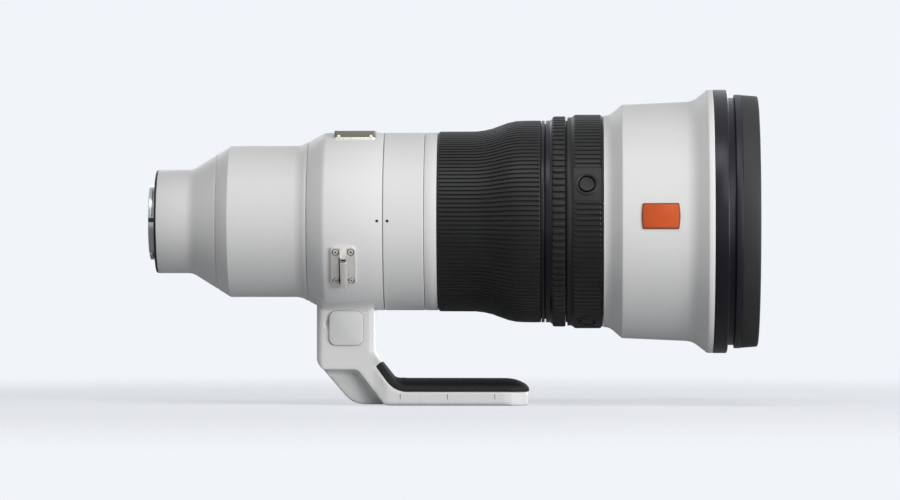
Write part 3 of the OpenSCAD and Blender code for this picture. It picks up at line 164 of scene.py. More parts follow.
# %% [markdown]
# The barrel castings carry a pale satin paint, which keeps the sun's heat off and has a very fine
# orange-peel. A flat colour would look like plastic. A noise with 1900 waves a metre gives a grain of half
# a millimetre, which only shows in a close view, and a slow mottle of 9 waves a metre keeps large areas from
# looking computed. A low specular level keeps the paint's edges from glaring.

# %% White paint
paint = Look("white_paint", (0.70, 0.70, 0.69), 0.42, Specular_IOR_Level=0.2)
mottle = paint.noise(9, detail=3)
paint.set("Base Color", paint.blend(mottle, (0.69, 0.69, 0.682), (0.76, 0.76, 0.755)))
paint.set("Roughness", mottle * 0.12 + 0.36)
paint.bump(paint.noise(1900), 0.00004, 0.5)
print("white paint ready")

# %% [markdown]
# Rubber, moulded plastic and anodised metal are all black on this lens, and only their gloss and grain tell
# them apart. The ribbed rubber is dull, with dust that varies its roughness. The palm pad has a coarse
# pebbled side and a top that is painted darker as painted shade, so the mesh carries an attribute that is 1
# on the side and 0 on the top, and the colour blends between the two. The rubber of the front rim is greyer
# and has scuffs.

# %% Rubber
rubber = Look("ribbed_rubber", (0.012, 0.012, 0.012), 0.45, Specular_IOR_Level=0.26)
dust = rubber.noise(60, detail=4)
rubber.set("Base Color", rubber.blend(dust, (0.007, 0.007, 0.007), (0.016, 0.016, 0.016)))
rubber.set("Roughness", dust * 0.16 + 0.36)
rubber.bump(rubber.noise(2600), 0.00005, 0.6)

pad_rubber = Look("pebbled_rubber_with_shaded_top", (0.014, 0.014, 0.014), 0.75, Specular_IOR_Level=0.06)
pebbles = pad_rubber.noise(1300, detail=2)
# The side attribute is 1 on the pebbled wall and 0 on the top: the top's darker colour is painted shade.
side = pad_rubber.add("ShaderNodeAttribute", {"attribute_name": "side"}, out="Fac")
pad_rubber.set("Base Color", pad_rubber.blend(
    side, pad_rubber.blend(pebbles, (0.003, 0.003, 0.003), (0.009, 0.009, 0.009)),
    pad_rubber.blend(pebbles, (0.012, 0.012, 0.012), (0.046, 0.046, 0.046))))
pad_rubber.set("Roughness", pebbles * 0.2 + 0.6)
pad_rubber.bump(pebbles, 0.00014, 0.8)

bumper_rubber = Look("bumper_rubber", (0.020, 0.021, 0.019), 0.6, Specular_IOR_Level=0.35)
scuff = bumper_rubber.noise(45, detail=5)
bumper_rubber.set("Base Color", bumper_rubber.blend(scuff, (0.016, 0.0175, 0.0155), (0.026, 0.027, 0.025)))
bumper_rubber.bump(bumper_rubber.noise(1800), 0.00006, 0.6)
print("three kinds of rubber ready")

# %% [markdown]
# Moulded plastic has a spark-eroded grain, which is a noise in both roughness and bump. The anodised rings
# are smooth, with lathe lines that run round the axis and a faint violet in their reflection, as black
# anodising has. The lines are a noise that is dense along X and stretched across it: the scale of Y and Z
# is 0.004, so one wave is longer than the whole ring.

# %% Black plastic and anodised metal
AROUND = (1, 0.004, 0.004)
VIOLET = (0.93, 0.88, 1.0)
plastic = Look("black_plastic", (0.014, 0.014, 0.0145), 0.5, Specular_IOR_Level=0.4)
grain = plastic.noise(2200, detail=1)
plastic.set("Roughness", grain * 0.25 + 0.36)
plastic.bump(grain, 0.00006, 0.8)

anodised = Look("black_anodised", (0.0055, 0.005, 0.0075), 0.33, Specular_IOR_Level=0.3, Specular_Tint=VIOLET)
lathe = anodised.noise(900, AROUND, 2)
anodised.set("Roughness", lathe * 0.14 + 0.24)
anodised.bump(lathe, 0.00002, 0.5)

band_metal = Look("hood_band", (0.0075, 0.007, 0.0095), 0.42, Specular_IOR_Level=0.34, Specular_Tint=VIOLET)
turning = band_metal.noise(900, AROUND, 2)
band_metal.set("Roughness", turning * 0.14 + 0.36)
band_metal.bump(turning, 0.00002, 0.5)
print("plastic and two anodised finishes ready")

# %% [markdown]
# Bare metal: the mount is chromed brass, a mirror that is slightly broken by turning marks. The strap lugs
# are brushed stainless steel, whose scratches lie along X. The steel is set half way to a metal only,
# because a plain studio has little for a full metal to reflect and it would turn black. The contacts are
# gold plated, and the plate on the collar is rolled and lacquered in khaki.

# %% Metals
chrome = Look("mount_chrome", (0.42, 0.42, 0.43), 0.2, 1.0)
marks = chrome.noise(700, (1, 0.02, 0.02), 3)
chrome.set("Roughness", marks * 0.16 + 0.14)
chrome.bump(marks, 0.00001, 0.4)

steel = Look("brushed_steel", (0.80, 0.775, 0.74), 0.3, 0.5)
brush = steel.noise(1500, (1, 0.04, 0.04), 3)
steel.set("Base Color", steel.blend(brush, (0.70, 0.67, 0.63), (0.88, 0.855, 0.81)))
steel.set("Roughness", brush * 0.22 + 0.2)
steel.bump(brush, 0.00002, 0.5)

gold = Look("contact_gold", (0.86, 0.62, 0.24), 0.2, 1.0)
gold.set("Roughness", gold.noise(1200) * 0.15 + 0.14)

khaki = Look("blank_plate", (0.19, 0.18, 0.14), 0.45, 0.2, Specular_IOR_Level=0.15)
rolled = khaki.noise(900, (0.03, 1, 1), 2)
khaki.set("Base Color", khaki.blend(rolled, (0.16, 0.152, 0.118), (0.215, 0.205, 0.16)))
khaki.set("Roughness", rolled * 0.2 + 0.38)
print("four metals ready")

# %% [markdown]
# Glass lets the light through and reflects a little of it. Real front glass has a coating that takes most
# of that reflection away and leaves a green one, so the specular tint is a dark green. A pure glass with a
# white reflection would look like a window pane instead. The coloured plate is lacquered: glossy, and a
# little uneven where the lacquer has flowed.

# %% Glass and lacquer
glass = Look("coated_glass", (0.93, 0.97, 0.98), 0.0, Transmission_Weight=1.0, IOR=1.5,
             Specular_Tint=(0.11, 0.22, 0.18), Coat_Weight=0.05, Coat_Roughness=0.0)
lacquer = Look("orange_lacquer", (0.58, 0.085, 0.018), 0.3, Specular_IOR_Level=0.25, Coat_Weight=0.06,
               Coat_Roughness=0.1)
flow = lacquer.noise(70, detail=2)
lacquer.set("Base Color", lacquer.blend(flow, (0.52, 0.075, 0.016), (0.66, 0.115, 0.026)))
print("glass and lacquer ready")

# %% [markdown]
# A few small finishes are left: the grey plastic of the switches, the green of the circuit board with its
# tracks, the black ink of the dots, and the grey of an engraved line. The same black and the same grey also
# serve as painted shade, on thin plates that stand for the dark recess of the mount, the dark cuts of the
# strap lugs and the gap round the foot's cap. An engraved line could be cut into the casting, but it is
# thinner than half a millimetre, and a dull grey reads as a cut at any distance.

# %% Small finishes
grey = Look("grey_plastic", (0.30, 0.30, 0.31), 0.45)
grey.set("Roughness", grey.noise(1500) * 0.2 + 0.34)
green = Look("circuit_green", (0.02, 0.12, 0.05), 0.4)
tracks = green.noise(300, (1, 0.2, 1), 0)
green.set("Base Color", green.blend(tracks.above(0.5), (0.015, 0.10, 0.04), (0.03, 0.17, 0.07)))
# Black ink for the dots, and also painted shade on the plates in the mount's recess and in the lugs.
ink_and_painted_shade = Look("printed_ink_and_painted_shade", (0.012, 0.012, 0.012), 0.5)
ink_and_painted_shade.set("Roughness", ink_and_painted_shade.noise(800) * 0.2 + 0.4)
# Grey for the engraved marks, and also painted shade for the gap round the foot's cap.
engraving_and_painted_shade = Look("engraved_line_and_painted_shade", (0.26, 0.26, 0.26), 0.6, Specular_IOR_Level=0.1)
engraving_and_painted_shade.set("Roughness", engraving_and_painted_shade.noise(800) * 0.2 + 0.5)
print("grey, green, ink and engraving ready")

# %% [markdown]
# Every node of the solid model has a material slot by name. Each slot gets its finish, and the node keeps
# its shape. That alone is enough for the pieces inside the barrel, which hardly show.

# %% Finishes on the solid model
FINISHES = {
    "white_paint": paint, "rubber": rubber, "black_plastic": plastic, "black_metal": anodised,
    "chrome": chrome, "steel": steel, "gold": gold, "blank_plate": khaki, "glass": glass,
    "accent": lacquer, "grey_plastic": grey, "board": green,
}
slot_of = {part["node"]: part["material_slot"] for part in frame["record"]["subparts"]}
for name, node in nodes.items():
    node.data.materials.clear()
    node.data.materials.append(FINISHES[slot_of[name]].material)
print(len(FINISHES), "finishes on", len(nodes), "nodes")

# %% [markdown]
# ## Tools for turned parts
#
# Nearly every piece here would be made on a lathe, so the main tool is a spin. A profile is a list of
# corners (place along the axis, radius) in millimetres, with a third number where a corner is rounded.
# After the spin the remaining sharp edges get a small bevel, because no real edge is perfectly sharp and
# the bevel is what catches the light along a seam. A Screw modifier could turn the profile too, but an
# operator leaves a finished mesh that the next tool can cut.

# %% Profiles, spins and bevels
ROUND_STEPS = 6
SPIN_STEPS = 240
HARD_EDGE = math.radians(28)


def rounded(corners):
    """Replaces each corner that has a radius by an arc."""
    points = []
    for i, (x, r, *radius) in enumerate(corners):
        here = Vector((x, r))
        if not radius:
            points.append(here)
            continue
        before = (Vector(corners[i - 1][:2]) - here).normalized()
        after = (Vector(corners[(i + 1) % len(corners)][:2]) - here).normalized()
        half = before.angle(after) / 2
        centre = here + (before + after).normalized() * radius[0] / math.sin(half)
        first = here + before * radius[0] / math.tan(half) - centre
        last = here + after * radius[0] / math.tan(half) - centre
        points += [centre + first.slerp(last, k / ROUND_STEPS) * radius[0] for k in range(ROUND_STEPS + 1)]
    return points


def wire(bm, points, closed=True):
    """Lays a chain of edges through points (x, r), on the near side of the axis."""
    verts = [bm.verts.new((x * MM, -r * MM, 0)) for x, r in points]
    ends = verts[1:] + verts[:1] if closed else verts[1:]
    return verts, [bm.edges.new(pair) for pair in zip(verts, ends)]


def soften(bm, width, angle=HARD_EDGE, inner=True):
    """Bevels every edge that is sharper than angle, and with inner=False only the outer ones."""
    hard = [e for e in bm.edges if len(e.link_faces) == 2 and e.calc_face_angle() > angle
            and (inner or e.is_convex)]
    if hard:
        bmesh.ops.bevel(bm, geom=hard, offset=width * MM, offset_type="OFFSET", segments=2,
                        profile=0.5, affect="EDGES", clamp_overlap=True, material=-1)
    return bm


def turned(corners, bevel=0.2, closed=True, steps=SPIN_STEPS):
    """Spins a profile once round the axis."""
    bm = bmesh.new()
    verts, edges = wire(bm, rounded(corners), closed)
    bmesh.ops.spin(bm, geom=verts + edges, cent=(0, 0, 0), axis=(1, 0, 0), angle=math.tau, steps=steps,
                   use_merge=True)
    bmesh.ops.remove_doubles(bm, verts=bm.verts, dist=1e-7)
    bmesh.ops.recalc_face_normals(bm, faces=bm.faces)
    return soften(bm, bevel) if bevel else bm


print("a turn in", SPIN_STEPS, "steps, a rounded corner in", ROUND_STEPS)

# %% [markdown]
# A finished mesh becomes an object at the origin, with its place in the mesh, because the moving bodies and
# the patterns both count on that. Faces are smooth, and edges that are sharper than the hard edge's angle
# stay crisp. Each piece then says which body it rides on, which slot its finish comes from and which node
# of the solid model it stands for.

# %% From a mesh to a finished piece


def joined(*parts):
    """Puts several meshes into the first one."""
    whole = parts[0]
    for part in parts[1:]:
        spare = bpy.data.meshes.new("spare")
        part.to_mesh(spare)
        part.free()
        whole.from_mesh(spare)
        bpy.data.meshes.remove(spare)
    return whole


def piece(bm, name, finish, body, *replaced, look=None):
    """Makes the object, gives it its finish and says what it rides on and stands for."""
    bmesh.ops.recalc_face_normals(bm, faces=bm.faces)
    for face in bm.faces:
        face.smooth = True
    for edge in bm.edges:
        edge.smooth = edge.calc_face_angle(0) < HARD_EDGE
    mesh = bpy.data.meshes.new(name)
    bm.to_mesh(mesh)
    bm.free()
    obj = bpy.data.objects.new(name, mesh)
    bpy.context.scene.collection.objects.link(obj)
    mesh.materials.append((look or FINISHES[finish]).material)
    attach(obj, body)
    if replaced:
        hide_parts(*replaced)
    print(f"{name}: {sum(len(p.vertices) - 2 for p in mesh.polygons)} triangles")
    return obj


# %% [markdown]
# A cut takes one mesh out of another, for slots and screw holes. Cutters that overlap each other can make
# the result come out empty, so such cuts are made one after the other.

# %% Cuts


def as_object(bm, name):
    mesh = bpy.data.meshes.new(name)
    bm.to_mesh(mesh)
    bm.free()
    obj = bpy.data.objects.new(name, mesh)
    bpy.context.scene.collection.objects.link(obj)
    return obj


def shaped(obj, *modifiers):
    """The mesh of obj after its modifiers, as a bmesh. The object is removed."""
    for kind, settings in modifiers:
        modifier = obj.modifiers.new(kind, kind)
        for name, value in settings.items():
            setattr(modifier, name, value)
    evaluated = obj.evaluated_get(bpy.context.evaluated_depsgraph_get())
    bm = bmesh.new()
    bm.from_mesh(evaluated.to_mesh())
    evaluated.to_mesh_clear()
    bpy.data.objects.remove(obj)
    return bm


def cut(bm, *cutters):
    """Takes the cutters out of a mesh."""
    tool = as_object(joined(*cutters), "cutter")
    result = shaped(as_object(bm, "blank"),
                    ("BOOLEAN", {"operation": "DIFFERENCE", "solver": "EXACT", "object": tool}))
    bpy.data.objects.remove(tool)
    return result


print("cuts use Blender's exact boolean")

# %% [markdown]
# Plates and blocks start as one flat face with rounded corners, which is extruded. A cube with a bevel would
# round all twelve edges alike, but a stamped plate is round in its outline only.

# %% Flat plates


def plate(corners, z0, z1):
    """A flat plate with an outline in X and Y."""
    bm = bmesh.new()
    bm.faces.new([bm.verts.new((x * MM, y * MM, z0 * MM)) for x, y in rounded(corners)])
    top = bmesh.ops.extrude_face_region(bm, geom=bm.faces[:])["geom"]
    bmesh.ops.translate(bm, verts=[v for v in top if isinstance(v, bmesh.types.BMVert)],
                        vec=(0, 0, (z1 - z0) * MM))
    bmesh.ops.recalc_face_normals(bm, faces=bm.faces)
    return bm


def slab(width, depth, corner, z0, z1, x=0.0, y=0.0):
    """A block with rounded corners, seen from above."""
    return plate([(x + i * width / 2, y + j * depth / 2, corner)
                  for i, j in ((-1, -1), (1, -1), (1, 1), (-1, 1))], z0, z1)


print("plates have their outline in X and Y")

# %% [markdown]
# ## Mount
#
# Pieces that repeat round the axis are made once on the near side and turned into place. A tab of the
# bayonet is a short spin over part of the circle, and a screw hole is a round bar along the axis.

# %% Parts round the axis


def turn(bm, angle):
    """Turns a piece that was made on the near side to an angle round the axis."""
    bmesh.ops.rotate(bm, verts=bm.verts, cent=(0, 0, 0),
                     matrix=Matrix.Rotation(-math.radians(angle), 3, "X"))
    return bm


def moved(bm, x, y=0.0, z=0.0):
    """Moves a piece, in millimetres."""
    bmesh.ops.translate(bm, verts=bm.verts, vec=(x * MM, y * MM, z * MM))
    return bm


def sector(corners, start, sweep, bevel=0.15, steps=40):
    """Spins a profile over part of the circle and closes its two ends."""
    bm = bmesh.new()
    verts, edges = wire(bm, rounded(corners))
    bmesh.ops.spin(bm, geom=verts + edges, cent=(0, 0, 0), axis=(-1, 0, 0), angle=math.radians(sweep),
                   steps=steps, use_merge=False)
    bmesh.ops.holes_fill(bm, edges=[e for e in bm.edges if e.is_boundary], sides=0)
    bmesh.ops.recalc_face_normals(bm, faces=bm.faces)
    turn(bm, start)
    return soften(bm, bevel)


def axial(radius, x0, x1, place, angle):
    """A round bar along the axis, at a distance from it."""
    bm = bmesh.new()
    bmesh.ops.create_cone(bm, cap_ends=True, segments=32, radius1=radius * MM, radius2=radius * MM,
                          depth=(x1 - x0) * MM)
    bmesh.ops.rotate(bm, verts=bm.verts, cent=(0, 0, 0), matrix=Matrix.Rotation(math.pi / 2, 3, "Y"))
    return turn(moved(bm, (x0 + x1) / 2, -place), angle)


print("angles run from the near side upwards")

# %% [markdown]
# The bayonet is one chromed ring: a flange that lies on the camera, a neck that goes in, and three tabs
# that lock behind the camera's own. It is turned and milled on the real lens, and made the same way here:
# a spin, three short spins with a notch cut in each, and cut screw holes, because from behind the holes
# are what tells a real mount from a plain ring. A rubber lip round it keeps dust out.

# %% Bayonet and seal
SCREW_PLACE = 26.2
SCREW_ANGLES = [30 + 60 * i for i in range(6)]
TAB_ANGLES, TAB_SWEEP, NOTCH_ANGLES = (1, 121, 241), 60, (2, 122, 242)
neck = turned([(-4.7, 19.5), (2.0, 19.5), (2.0, 29.5), (0, 29.5), (0, 21.8), (-4.7, 21.8)], bevel=0.25)
neck = cut(neck, *[axial(1.8, -2, 1.0, SCREW_PLACE, a) for a in SCREW_ANGLES],
           axial(1.4, -1, 1.5, SCREW_PLACE, 60))
tabs = [sector([(-4.4, 20.6), (-2.4, 20.6), (-2.4, 22.9), (-4.4, 22.9)], a, TAB_SWEEP) for a in TAB_ANGLES]
notches = [turn(slab(2.6, 4.0, 0.3, 21.9, 24, -3.4), a - 90) for a in NOTCH_ANGLES]
piece(joined(neck, *[cut(tab, notch) for tab, notch in zip(tabs, notches)]), "chromed_bayonet", "chrome",
      "barrel", "bayonet")
piece(turned([(-0.8, 29.53), (0.6, 29.53), (0.6, 30.9), (0, 30.9), (-0.8, 30.5)], bevel=0.12),
      "mount_gasket", "rubber", "barrel", "mount_seal")

# %% [markdown]
# Six cross-head screws hold the mount. A head is a small spin with a rounded rim, and its cross is two thin
# blocks, cut one after the other because they overlap. A thin black plate on the neck is painted shade for
# a recess, and shows from the side as a dark gap in the chrome.

# %% Mount screws and painted shade of a recess


def screw(head, depth):
    """A small cross-head screw whose head points to -X, at the origin."""
    bm = turned([(0, 0), (0, head, 0.25), (depth, head), (depth, 0)], 0, closed=False, steps=24)
    slots = []
    for size in ((0.9, 1.3 * head, 0.28 * head), (0.9, 0.28 * head, 1.3 * head)):
        slot = bmesh.new()
        bmesh.ops.create_cube(slot, size=1)
        bmesh.ops.scale(slot, verts=slot.verts, vec=[s * MM for s in size])
        slots.append(slot)
    return cut(cut(bm, slots[0]), slots[1])


mount_screws = [turn(moved(screw(1.65, 0.9), 0.1, -SCREW_PLACE), a) for a in SCREW_ANGLES]
piece(joined(*mount_screws), "mount_screw_heads", "steel", "barrel", "mount_screws")
# A black plate on the neck: painted shade where a recess between the tabs would be dark.
piece(turn(slab(4.3, 2.6, 0.3, 21.6, 22.2, -2.3), NOTCH_ANGLES[0] - 90), "bayonet_recess_painted_shade", "black_plastic",
      "barrel", look=ink_and_painted_shade)

# %% [markdown]
# The contact block is a moulded sector of black plastic inside the throat. Each contact is a gold pin whose
# end is rounded, so that it slides over the camera's springs: a small spin, repeated over the sector.

# %% Contacts
CONTACTS, CONTACT_STEP, CONTACT_PLACE = 10, 10.5, 16.7
piece(sector([(-4.2, 13.9), (2.0, 13.9), (2.0, 19.47), (-4.2, 19.47)], 217.5, 105, steps=60),
      "contact_carrier", "black_plastic", "barrel", "contact_block")
pins = []
for i in range(CONTACTS):
    pin = turned([(-4.55, 0), (-4.55, 0.7, 0.3), (-3.6, 0.7), (-3.6, 0)], 0, closed=False, steps=20)
    pins.append(turn(moved(pin, 0, -CONTACT_PLACE), 270 + (i - (CONTACTS - 1) / 2) * CONTACT_STEP))
piece(joined(*pins), "gold_contacts", "gold", "barrel", "contact_pins")

# %% [markdown]
# ## Painted castings
#
# Some pieces of the solid model already have the right outline and only need softer edges. A dressed copy
# starts from the node's own mesh. Its triangles are loose, so they are merged and flat ones joined, and
# then the outer edges get a bevel. Inner edges stay sharp, so that what slides in them has its room.

# %% Dressed copies


def merged(node):
    """The merged mesh of a CAD node."""
    bm = bmesh.new()
    bm.from_mesh(nodes[node].data)
    bmesh.ops.remove_doubles(bm, verts=bm.verts, dist=1e-6)
    return bm


def dressed(node, body, bevel):
    """A copy of a node with soft edges and smooth faces."""
    bm = merged(node)
    bmesh.ops.dissolve_limit(bm, angle_limit=math.radians(0.5), verts=bm.verts, edges=bm.edges)
    if bevel:
        soften(bm, bevel, math.radians(40), inner=False)
    return piece(bm, "dressed_" + node, slot_of[node], body, node)


print("a dressed copy stands for its own node")

# %% [markdown]
# The white castings are thin shells. Their outlines are read from the side: a straight rear barrel, a
# cone, the filter housing, a second cone and the rotating collar. Long fillets join the cones to the
# straights, as a cast part needs. The ends have a bevel, narrow where the photograph shows a fine seam and
# wider where it shows a bright line. The filter housing has a slot for the drop-in holder, cut at the
# holder's own tilt.

# %% Rear barrel, filter housing and collar
SEAM_BEVEL = 0.3
LAND_BEVEL = 0.1
FILTER_X, FILTER_TILT = 59.0, 35
piece(turned([(0.6, 29.56), (0.6, 31.0), (20.8, 31.0, 9.4), (35.6, 40.25), (36.5, 40.25), (36.5, 38.3),
              (21.5, 28.7, 9), (4.4, 28.7), (4.4, 23.6), (2.05, 23.6), (2.05, 29.56)], LAND_BEVEL),
      "rear_barrel_paint", "white_paint", "barrel", "rear_barrel")
housing = turned([(36.62, 38.4), (36.62, 40.885), (43.7, 45.31, 1.2), (85.7, 45.31, 12), (89.8, 47.44),
                  (90.82, 47.44), (90.82, 45.2), (85.7, 43.1), (44.3, 43.1)], LAND_BEVEL)
slot_cutter = turn(slab(14.0, 47.4, 2.5, 21, 60, FILTER_X), FILTER_TILT)
piece(cut(housing, slot_cutter), "filter_housing_paint", "white_paint", "barrel", "filter_housing")
piece(turned([(91.02, 45.37), (91.02, 48.07), (100.9, 53.22, 6), (136.2, 53.22), (136.2, 45.37)], SEAM_BEVEL),
      "collar_paint", "white_paint", "collar", "collar_ring")
dressed("filter_holder", "filter_holder", 0.25)
dressed("filter_release", "filter_release", 0.2)

# %% [markdown]
# In front of the collar follow the barrel that carries the switches, a narrow spacer and, past the rubber
# rings, the big front barrel. The front barrel swells in two steps to the rim: a short shoulder, a long
# and slightly conical body, and a flare with a sharp lip that ends in a flat white land.

# %% Body rings and front barrel
dressed("switch_barrel", "barrel", 0)
piece(turned([(160.75, 50.0), (160.75, 53.22), (168.2, 53.22), (168.2, 50.0)], SEAM_BEVEL),
      "spacer_paint", "white_paint", "barrel", "spacer_ring")
piece(turned([(267.2, 57.0), (267.2, 63.32), (270.5, 63.32, 8), (278.23, 69.92, 1.5), (320.3, 71.77, 12),
              (329.1, 78.72, 1.6), (332.5, 78.82), (332.5, 76.6), (329.1, 76.6), (321, 69.6), (279, 67.7),
              (271, 61.1), (270.2, 61.1), (270.2, 57.0)], 0.25),
      "front_barrel_paint", "white_paint", "barrel", "front_barrel")

# %% [markdown]
# ## Ribbed rubber
#
# A ribbed grip is moulded rubber that is stretched over a metal ring. Ribs could be a hundred boxes set
# round the ring, but they would not end softly. Here the grip is a plain ring that is pushed in along
# narrow strips. The profile is spun in many small steps, nine to a rib, and then the points over a groove
# move towards the axis. How deep the groove is at each place along the ring is stored on the profile's
# points, and the spin copies it to the others.

# %% Ribs
GROOVE = (1.0, 0.85, 0.0, 0.0, 0.0, 0.0, 0.0, 0.0, 0.85)
SOFT_GROOVE = (1.0, 0.9, 0.12, 0.0, 0.0, 0.0, 0.0, 0.12, 0.9)
FOCUS_RIBS, FUNCTION_RIBS, BUTTON_RIBS = 130, 94, 124


def around(vert):
    """The angle of a point round the axis, in degrees, from the near side upwards."""
    return math.degrees(math.atan2(vert.co.z, -vert.co.y)) % 360


def ribbed(line, ribs, pads=(), pad_half=0.0, pad_depth=0.0, groove=GROOVE):
    """A spun ring with ribs. A corner of its line is (place, radius, depth of the groove there)."""
    bm = bmesh.new()
    layer = bm.verts.layers.float.new("depth")
    verts, edges = wire(bm, [corner[:2] for corner in line])
    for vert, corner in zip(verts, line):
        vert[layer] = corner[2]
    bmesh.ops.spin(bm, geom=verts + edges, cent=(0, 0, 0), axis=(1, 0, 0), angle=math.tau,
                   steps=ribs * len(groove), use_merge=True)
    bmesh.ops.remove_doubles(bm, verts=bm.verts, dist=1e-7)
    pitch = 360 / ribs
    for vert in bm.verts:
        angle = around(vert)
        if any(abs((angle - pad + 180) % 360 - 180) < pad_half for pad in pads):
            push = pad_depth if vert[layer] else 0
        else:
            push = vert[layer] * groove[round(angle / pitch * len(groove)) % len(groove)]
        spoke = Vector((0, vert.co.y, vert.co.z)).normalized()
        vert.co -= spoke * push * MM
    bmesh.ops.recalc_face_normals(bm, faces=bm.faces)
    return bm


print("a rib of the focus grip is", round(360 / FOCUS_RIBS, 2), "degrees wide")

# %% [markdown]
# The focus grip follows the hand: narrow behind, a hollow, and a wide bulge in front. Its ribs grow out of
# the plain edge over the first two millimetres. Under it is the metal sleeve that turns with it, whose front
# edge shows as a thin anodised band with a groove.

# %% Focus grip
focus_line = [
    (168.5, 52.6, 0), (168.7, 53.3, 0.2), (169.3, 53.8, 0.6), (170.4, 53.92, 0.8), (180, 53.95, 0.8),
    (191, 54.0, 0.8), (195.9, 54.6, 0.8), (200.7, 55.7, 0.8), (205.5, 57.5, 0.8), (210.3, 59.2, 0.8),
    (215.1, 60.2, 0.8), (219.5, 60.45, 0.8), (226, 60.52, 0.8), (228.6, 60.5, 0.8), (229.1, 60.45, 0.1),
    (229.7, 60.3, 0), (229.9, 59.9, 0), (229.9, 58.22, 0), (218.5, 58.22, 0), (190.5, 51.62, 0),
    (168.5, 51.62, 0)]
piece(ribbed(focus_line, FOCUS_RIBS), "focus_grip_rubber", "rubber", "focus_ring", "focus_grip")
piece(turned([(168.5, 49.99), (168.5, 51.59), (190.5, 51.59), (218.5, 58.19), (230.2, 58.19), (230.2, 60.52),
              (232, 60.52), (232, 58.5), (232.72, 58.5), (232.72, 56.59), (220.9, 56.59), (218.5, 56.99),
              (190.5, 50.39), (188.1, 49.99)]),
      "focus_sleeve_metal", "black_metal", "focus_ring", "focus_sleeve")

# %% [markdown]
# The function ring is a narrow spring-loaded ring with coarser ribs, so that a finger tells it from the
# focus grip. It is made with the same tool. Its grooves have softer shoulders, and its profile is short.

# %% Function ring
function_line = [
    (236.66, 60.56, 0), (236.66, 61.9, 0.5), (237.0, 62.6, 0.9), (237.6, 62.95, 1.2), (238.4, 63.02, 1.2),
    (241, 63.02, 1.2), (243.6, 63.02, 1.2), (244.2, 62.9, 1.1), (244.5, 62.4, 0.8), (244.5, 60.56, 0)]
piece(ribbed(function_line, FUNCTION_RIBS, groove=SOFT_GROOVE), "function_grip_rubber", "rubber",
      "function_ring", "function_grip")
piece(turned([(232.8, 56.59), (232.8, 60.52), (235.2, 60.52), (236.63, 61.62), (236.63, 60.52),
              (244.5, 60.52), (244.5, 56.59)]), "function_ring_metal", "black_metal", "function_ring",
      "function_ring")

# %% [markdown]
# The button ring carries four hold buttons, a quarter of a turn apart. Round each one the ribs stop at a
# plain pad, the ring stands up in a rounded rim, and the button sits in the moat inside it. Such round
# features point outwards, so they are spun about their own line and then turned into place.

# %% Knobs, rims and wells


def knob(corners, x, angle=0, z=0, bevel=0, steps=64):
    """Spins a profile of (radius, height over the axis) round a line that points out at an angle."""
    bm = bmesh.new()
    verts, edges = wire(bm, rounded(corners), closed=False)
    bmesh.ops.spin(bm, geom=verts + edges, cent=(0, 0, 0), axis=(0, 1, 0), angle=math.tau, steps=steps,
                   use_merge=True)
    bmesh.ops.remove_doubles(bm, verts=bm.verts, dist=1e-7)
    bmesh.ops.recalc_face_normals(bm, faces=bm.faces)
    turn(moved(bm, x, 0, z), angle)
    return soften(bm, bevel) if bevel else bm


BUTTON_X, BUTTON_ANGLES = 257.15, (20, 110, 200, 290)


def at_buttons(corners, steps=64):
    """The same round feature at each of the four hold buttons."""
    return [knob(corners, BUTTON_X, a, steps=steps) for a in BUTTON_ANGLES]


print("hold buttons at", BUTTON_ANGLES, "degrees")

# %% [markdown]
# The ribs are left out over nine degrees and a bit on each side of a button, and a plain pad of the same
# rubber fills that place. Pad and ribs are cut by a well, and the metal ring under them is cut once more
# for the stem of the button and for the cap's travel of 0.8 mm.

# %% Button ring
PAD_HALF = 9.4
button_line = [
    (247.93, 61.36, 0), (247.93, 62.42, 0), (248.9, 63.0, 0), (249.8, 63.75, 0.3), (250.6, 64.0, 0.8),
    (252, 64.02, 0.85), (256, 64.02, 0.85), (260, 64.02, 0.85), (264.6, 64.02, 0.85), (265.3, 63.95, 0.8),
    (265.6, 63.8, 0), (266.07, 63.0, 0), (266.07, 61.36, 0)]
button_rubber = ribbed(button_line, BUTTON_RIBS, BUTTON_ANGLES, PAD_HALF + 0.5, 0.3)
plain = [sector([(249.4, 61.4), (249.4, 63.8, 0.3), (265.9, 63.8, 0.3), (265.9, 61.4)], a - PAD_HALF,
                2 * PAD_HALF, 0.2) for a in BUTTON_ANGLES]
wells = at_buttons([(0, 60), (6.4, 60), (6.4, 66), (0, 66)], steps=48)
plain = [cut(pad, well.copy()) for pad, well in zip(plain, wells)]
piece(joined(cut(button_rubber, *wells), *plain), "button_grip_rubber", "rubber", "barrel", "button_grip")

ring_blank = turned([(244.6, 56.56), (244.6, 60.5), (245.6, 60.5), (245.6, 62.42), (247.9, 62.42),
                     (247.9, 61.32), (266.1, 61.32), (266.1, 63.02), (266.9, 63.02), (266.9, 56.56)])
rims = at_buttons([(5.1, 60.4), (5.1, 63.7, 0.2), (5.9, 64.2, 0.5), (7.1, 63.9, 0.4), (7.2, 60.4)])
stem_wells = at_buttons([(0, 56), (3.1, 56), (3.1, 60.5), (4.75, 60.5), (4.75, 62), (0, 62)])
piece(joined(cut(ring_blank, *stem_wells), *rims), "button_ring_metal", "black_metal", "barrel",
      "button_ring", look=rubber)

# %% [markdown]
# A hold button is a shallow dished cap on a stem. The dish is what the thumb feels, so its profile falls a
# little towards the middle and has a rounded edge.

# %% Hold buttons
for side_name, angle in zip(("right", "top", "left", "bottom"), BUTTON_ANGLES):
    cap = knob([(0, 63.72), (2.6, 63.76), (3.4, 63.9, 0.5), (4.1, 64.0, 0.4), (4.45, 63.6, 0.3),
                (4.45, 61.75), (3.0, 61.75), (3.0, 57.8), (0, 57.8)], BUTTON_X, angle, bevel=0.08)
    name = "hold_button_" + side_name
    piece(cap, name + "_cap", "rubber", name, name)

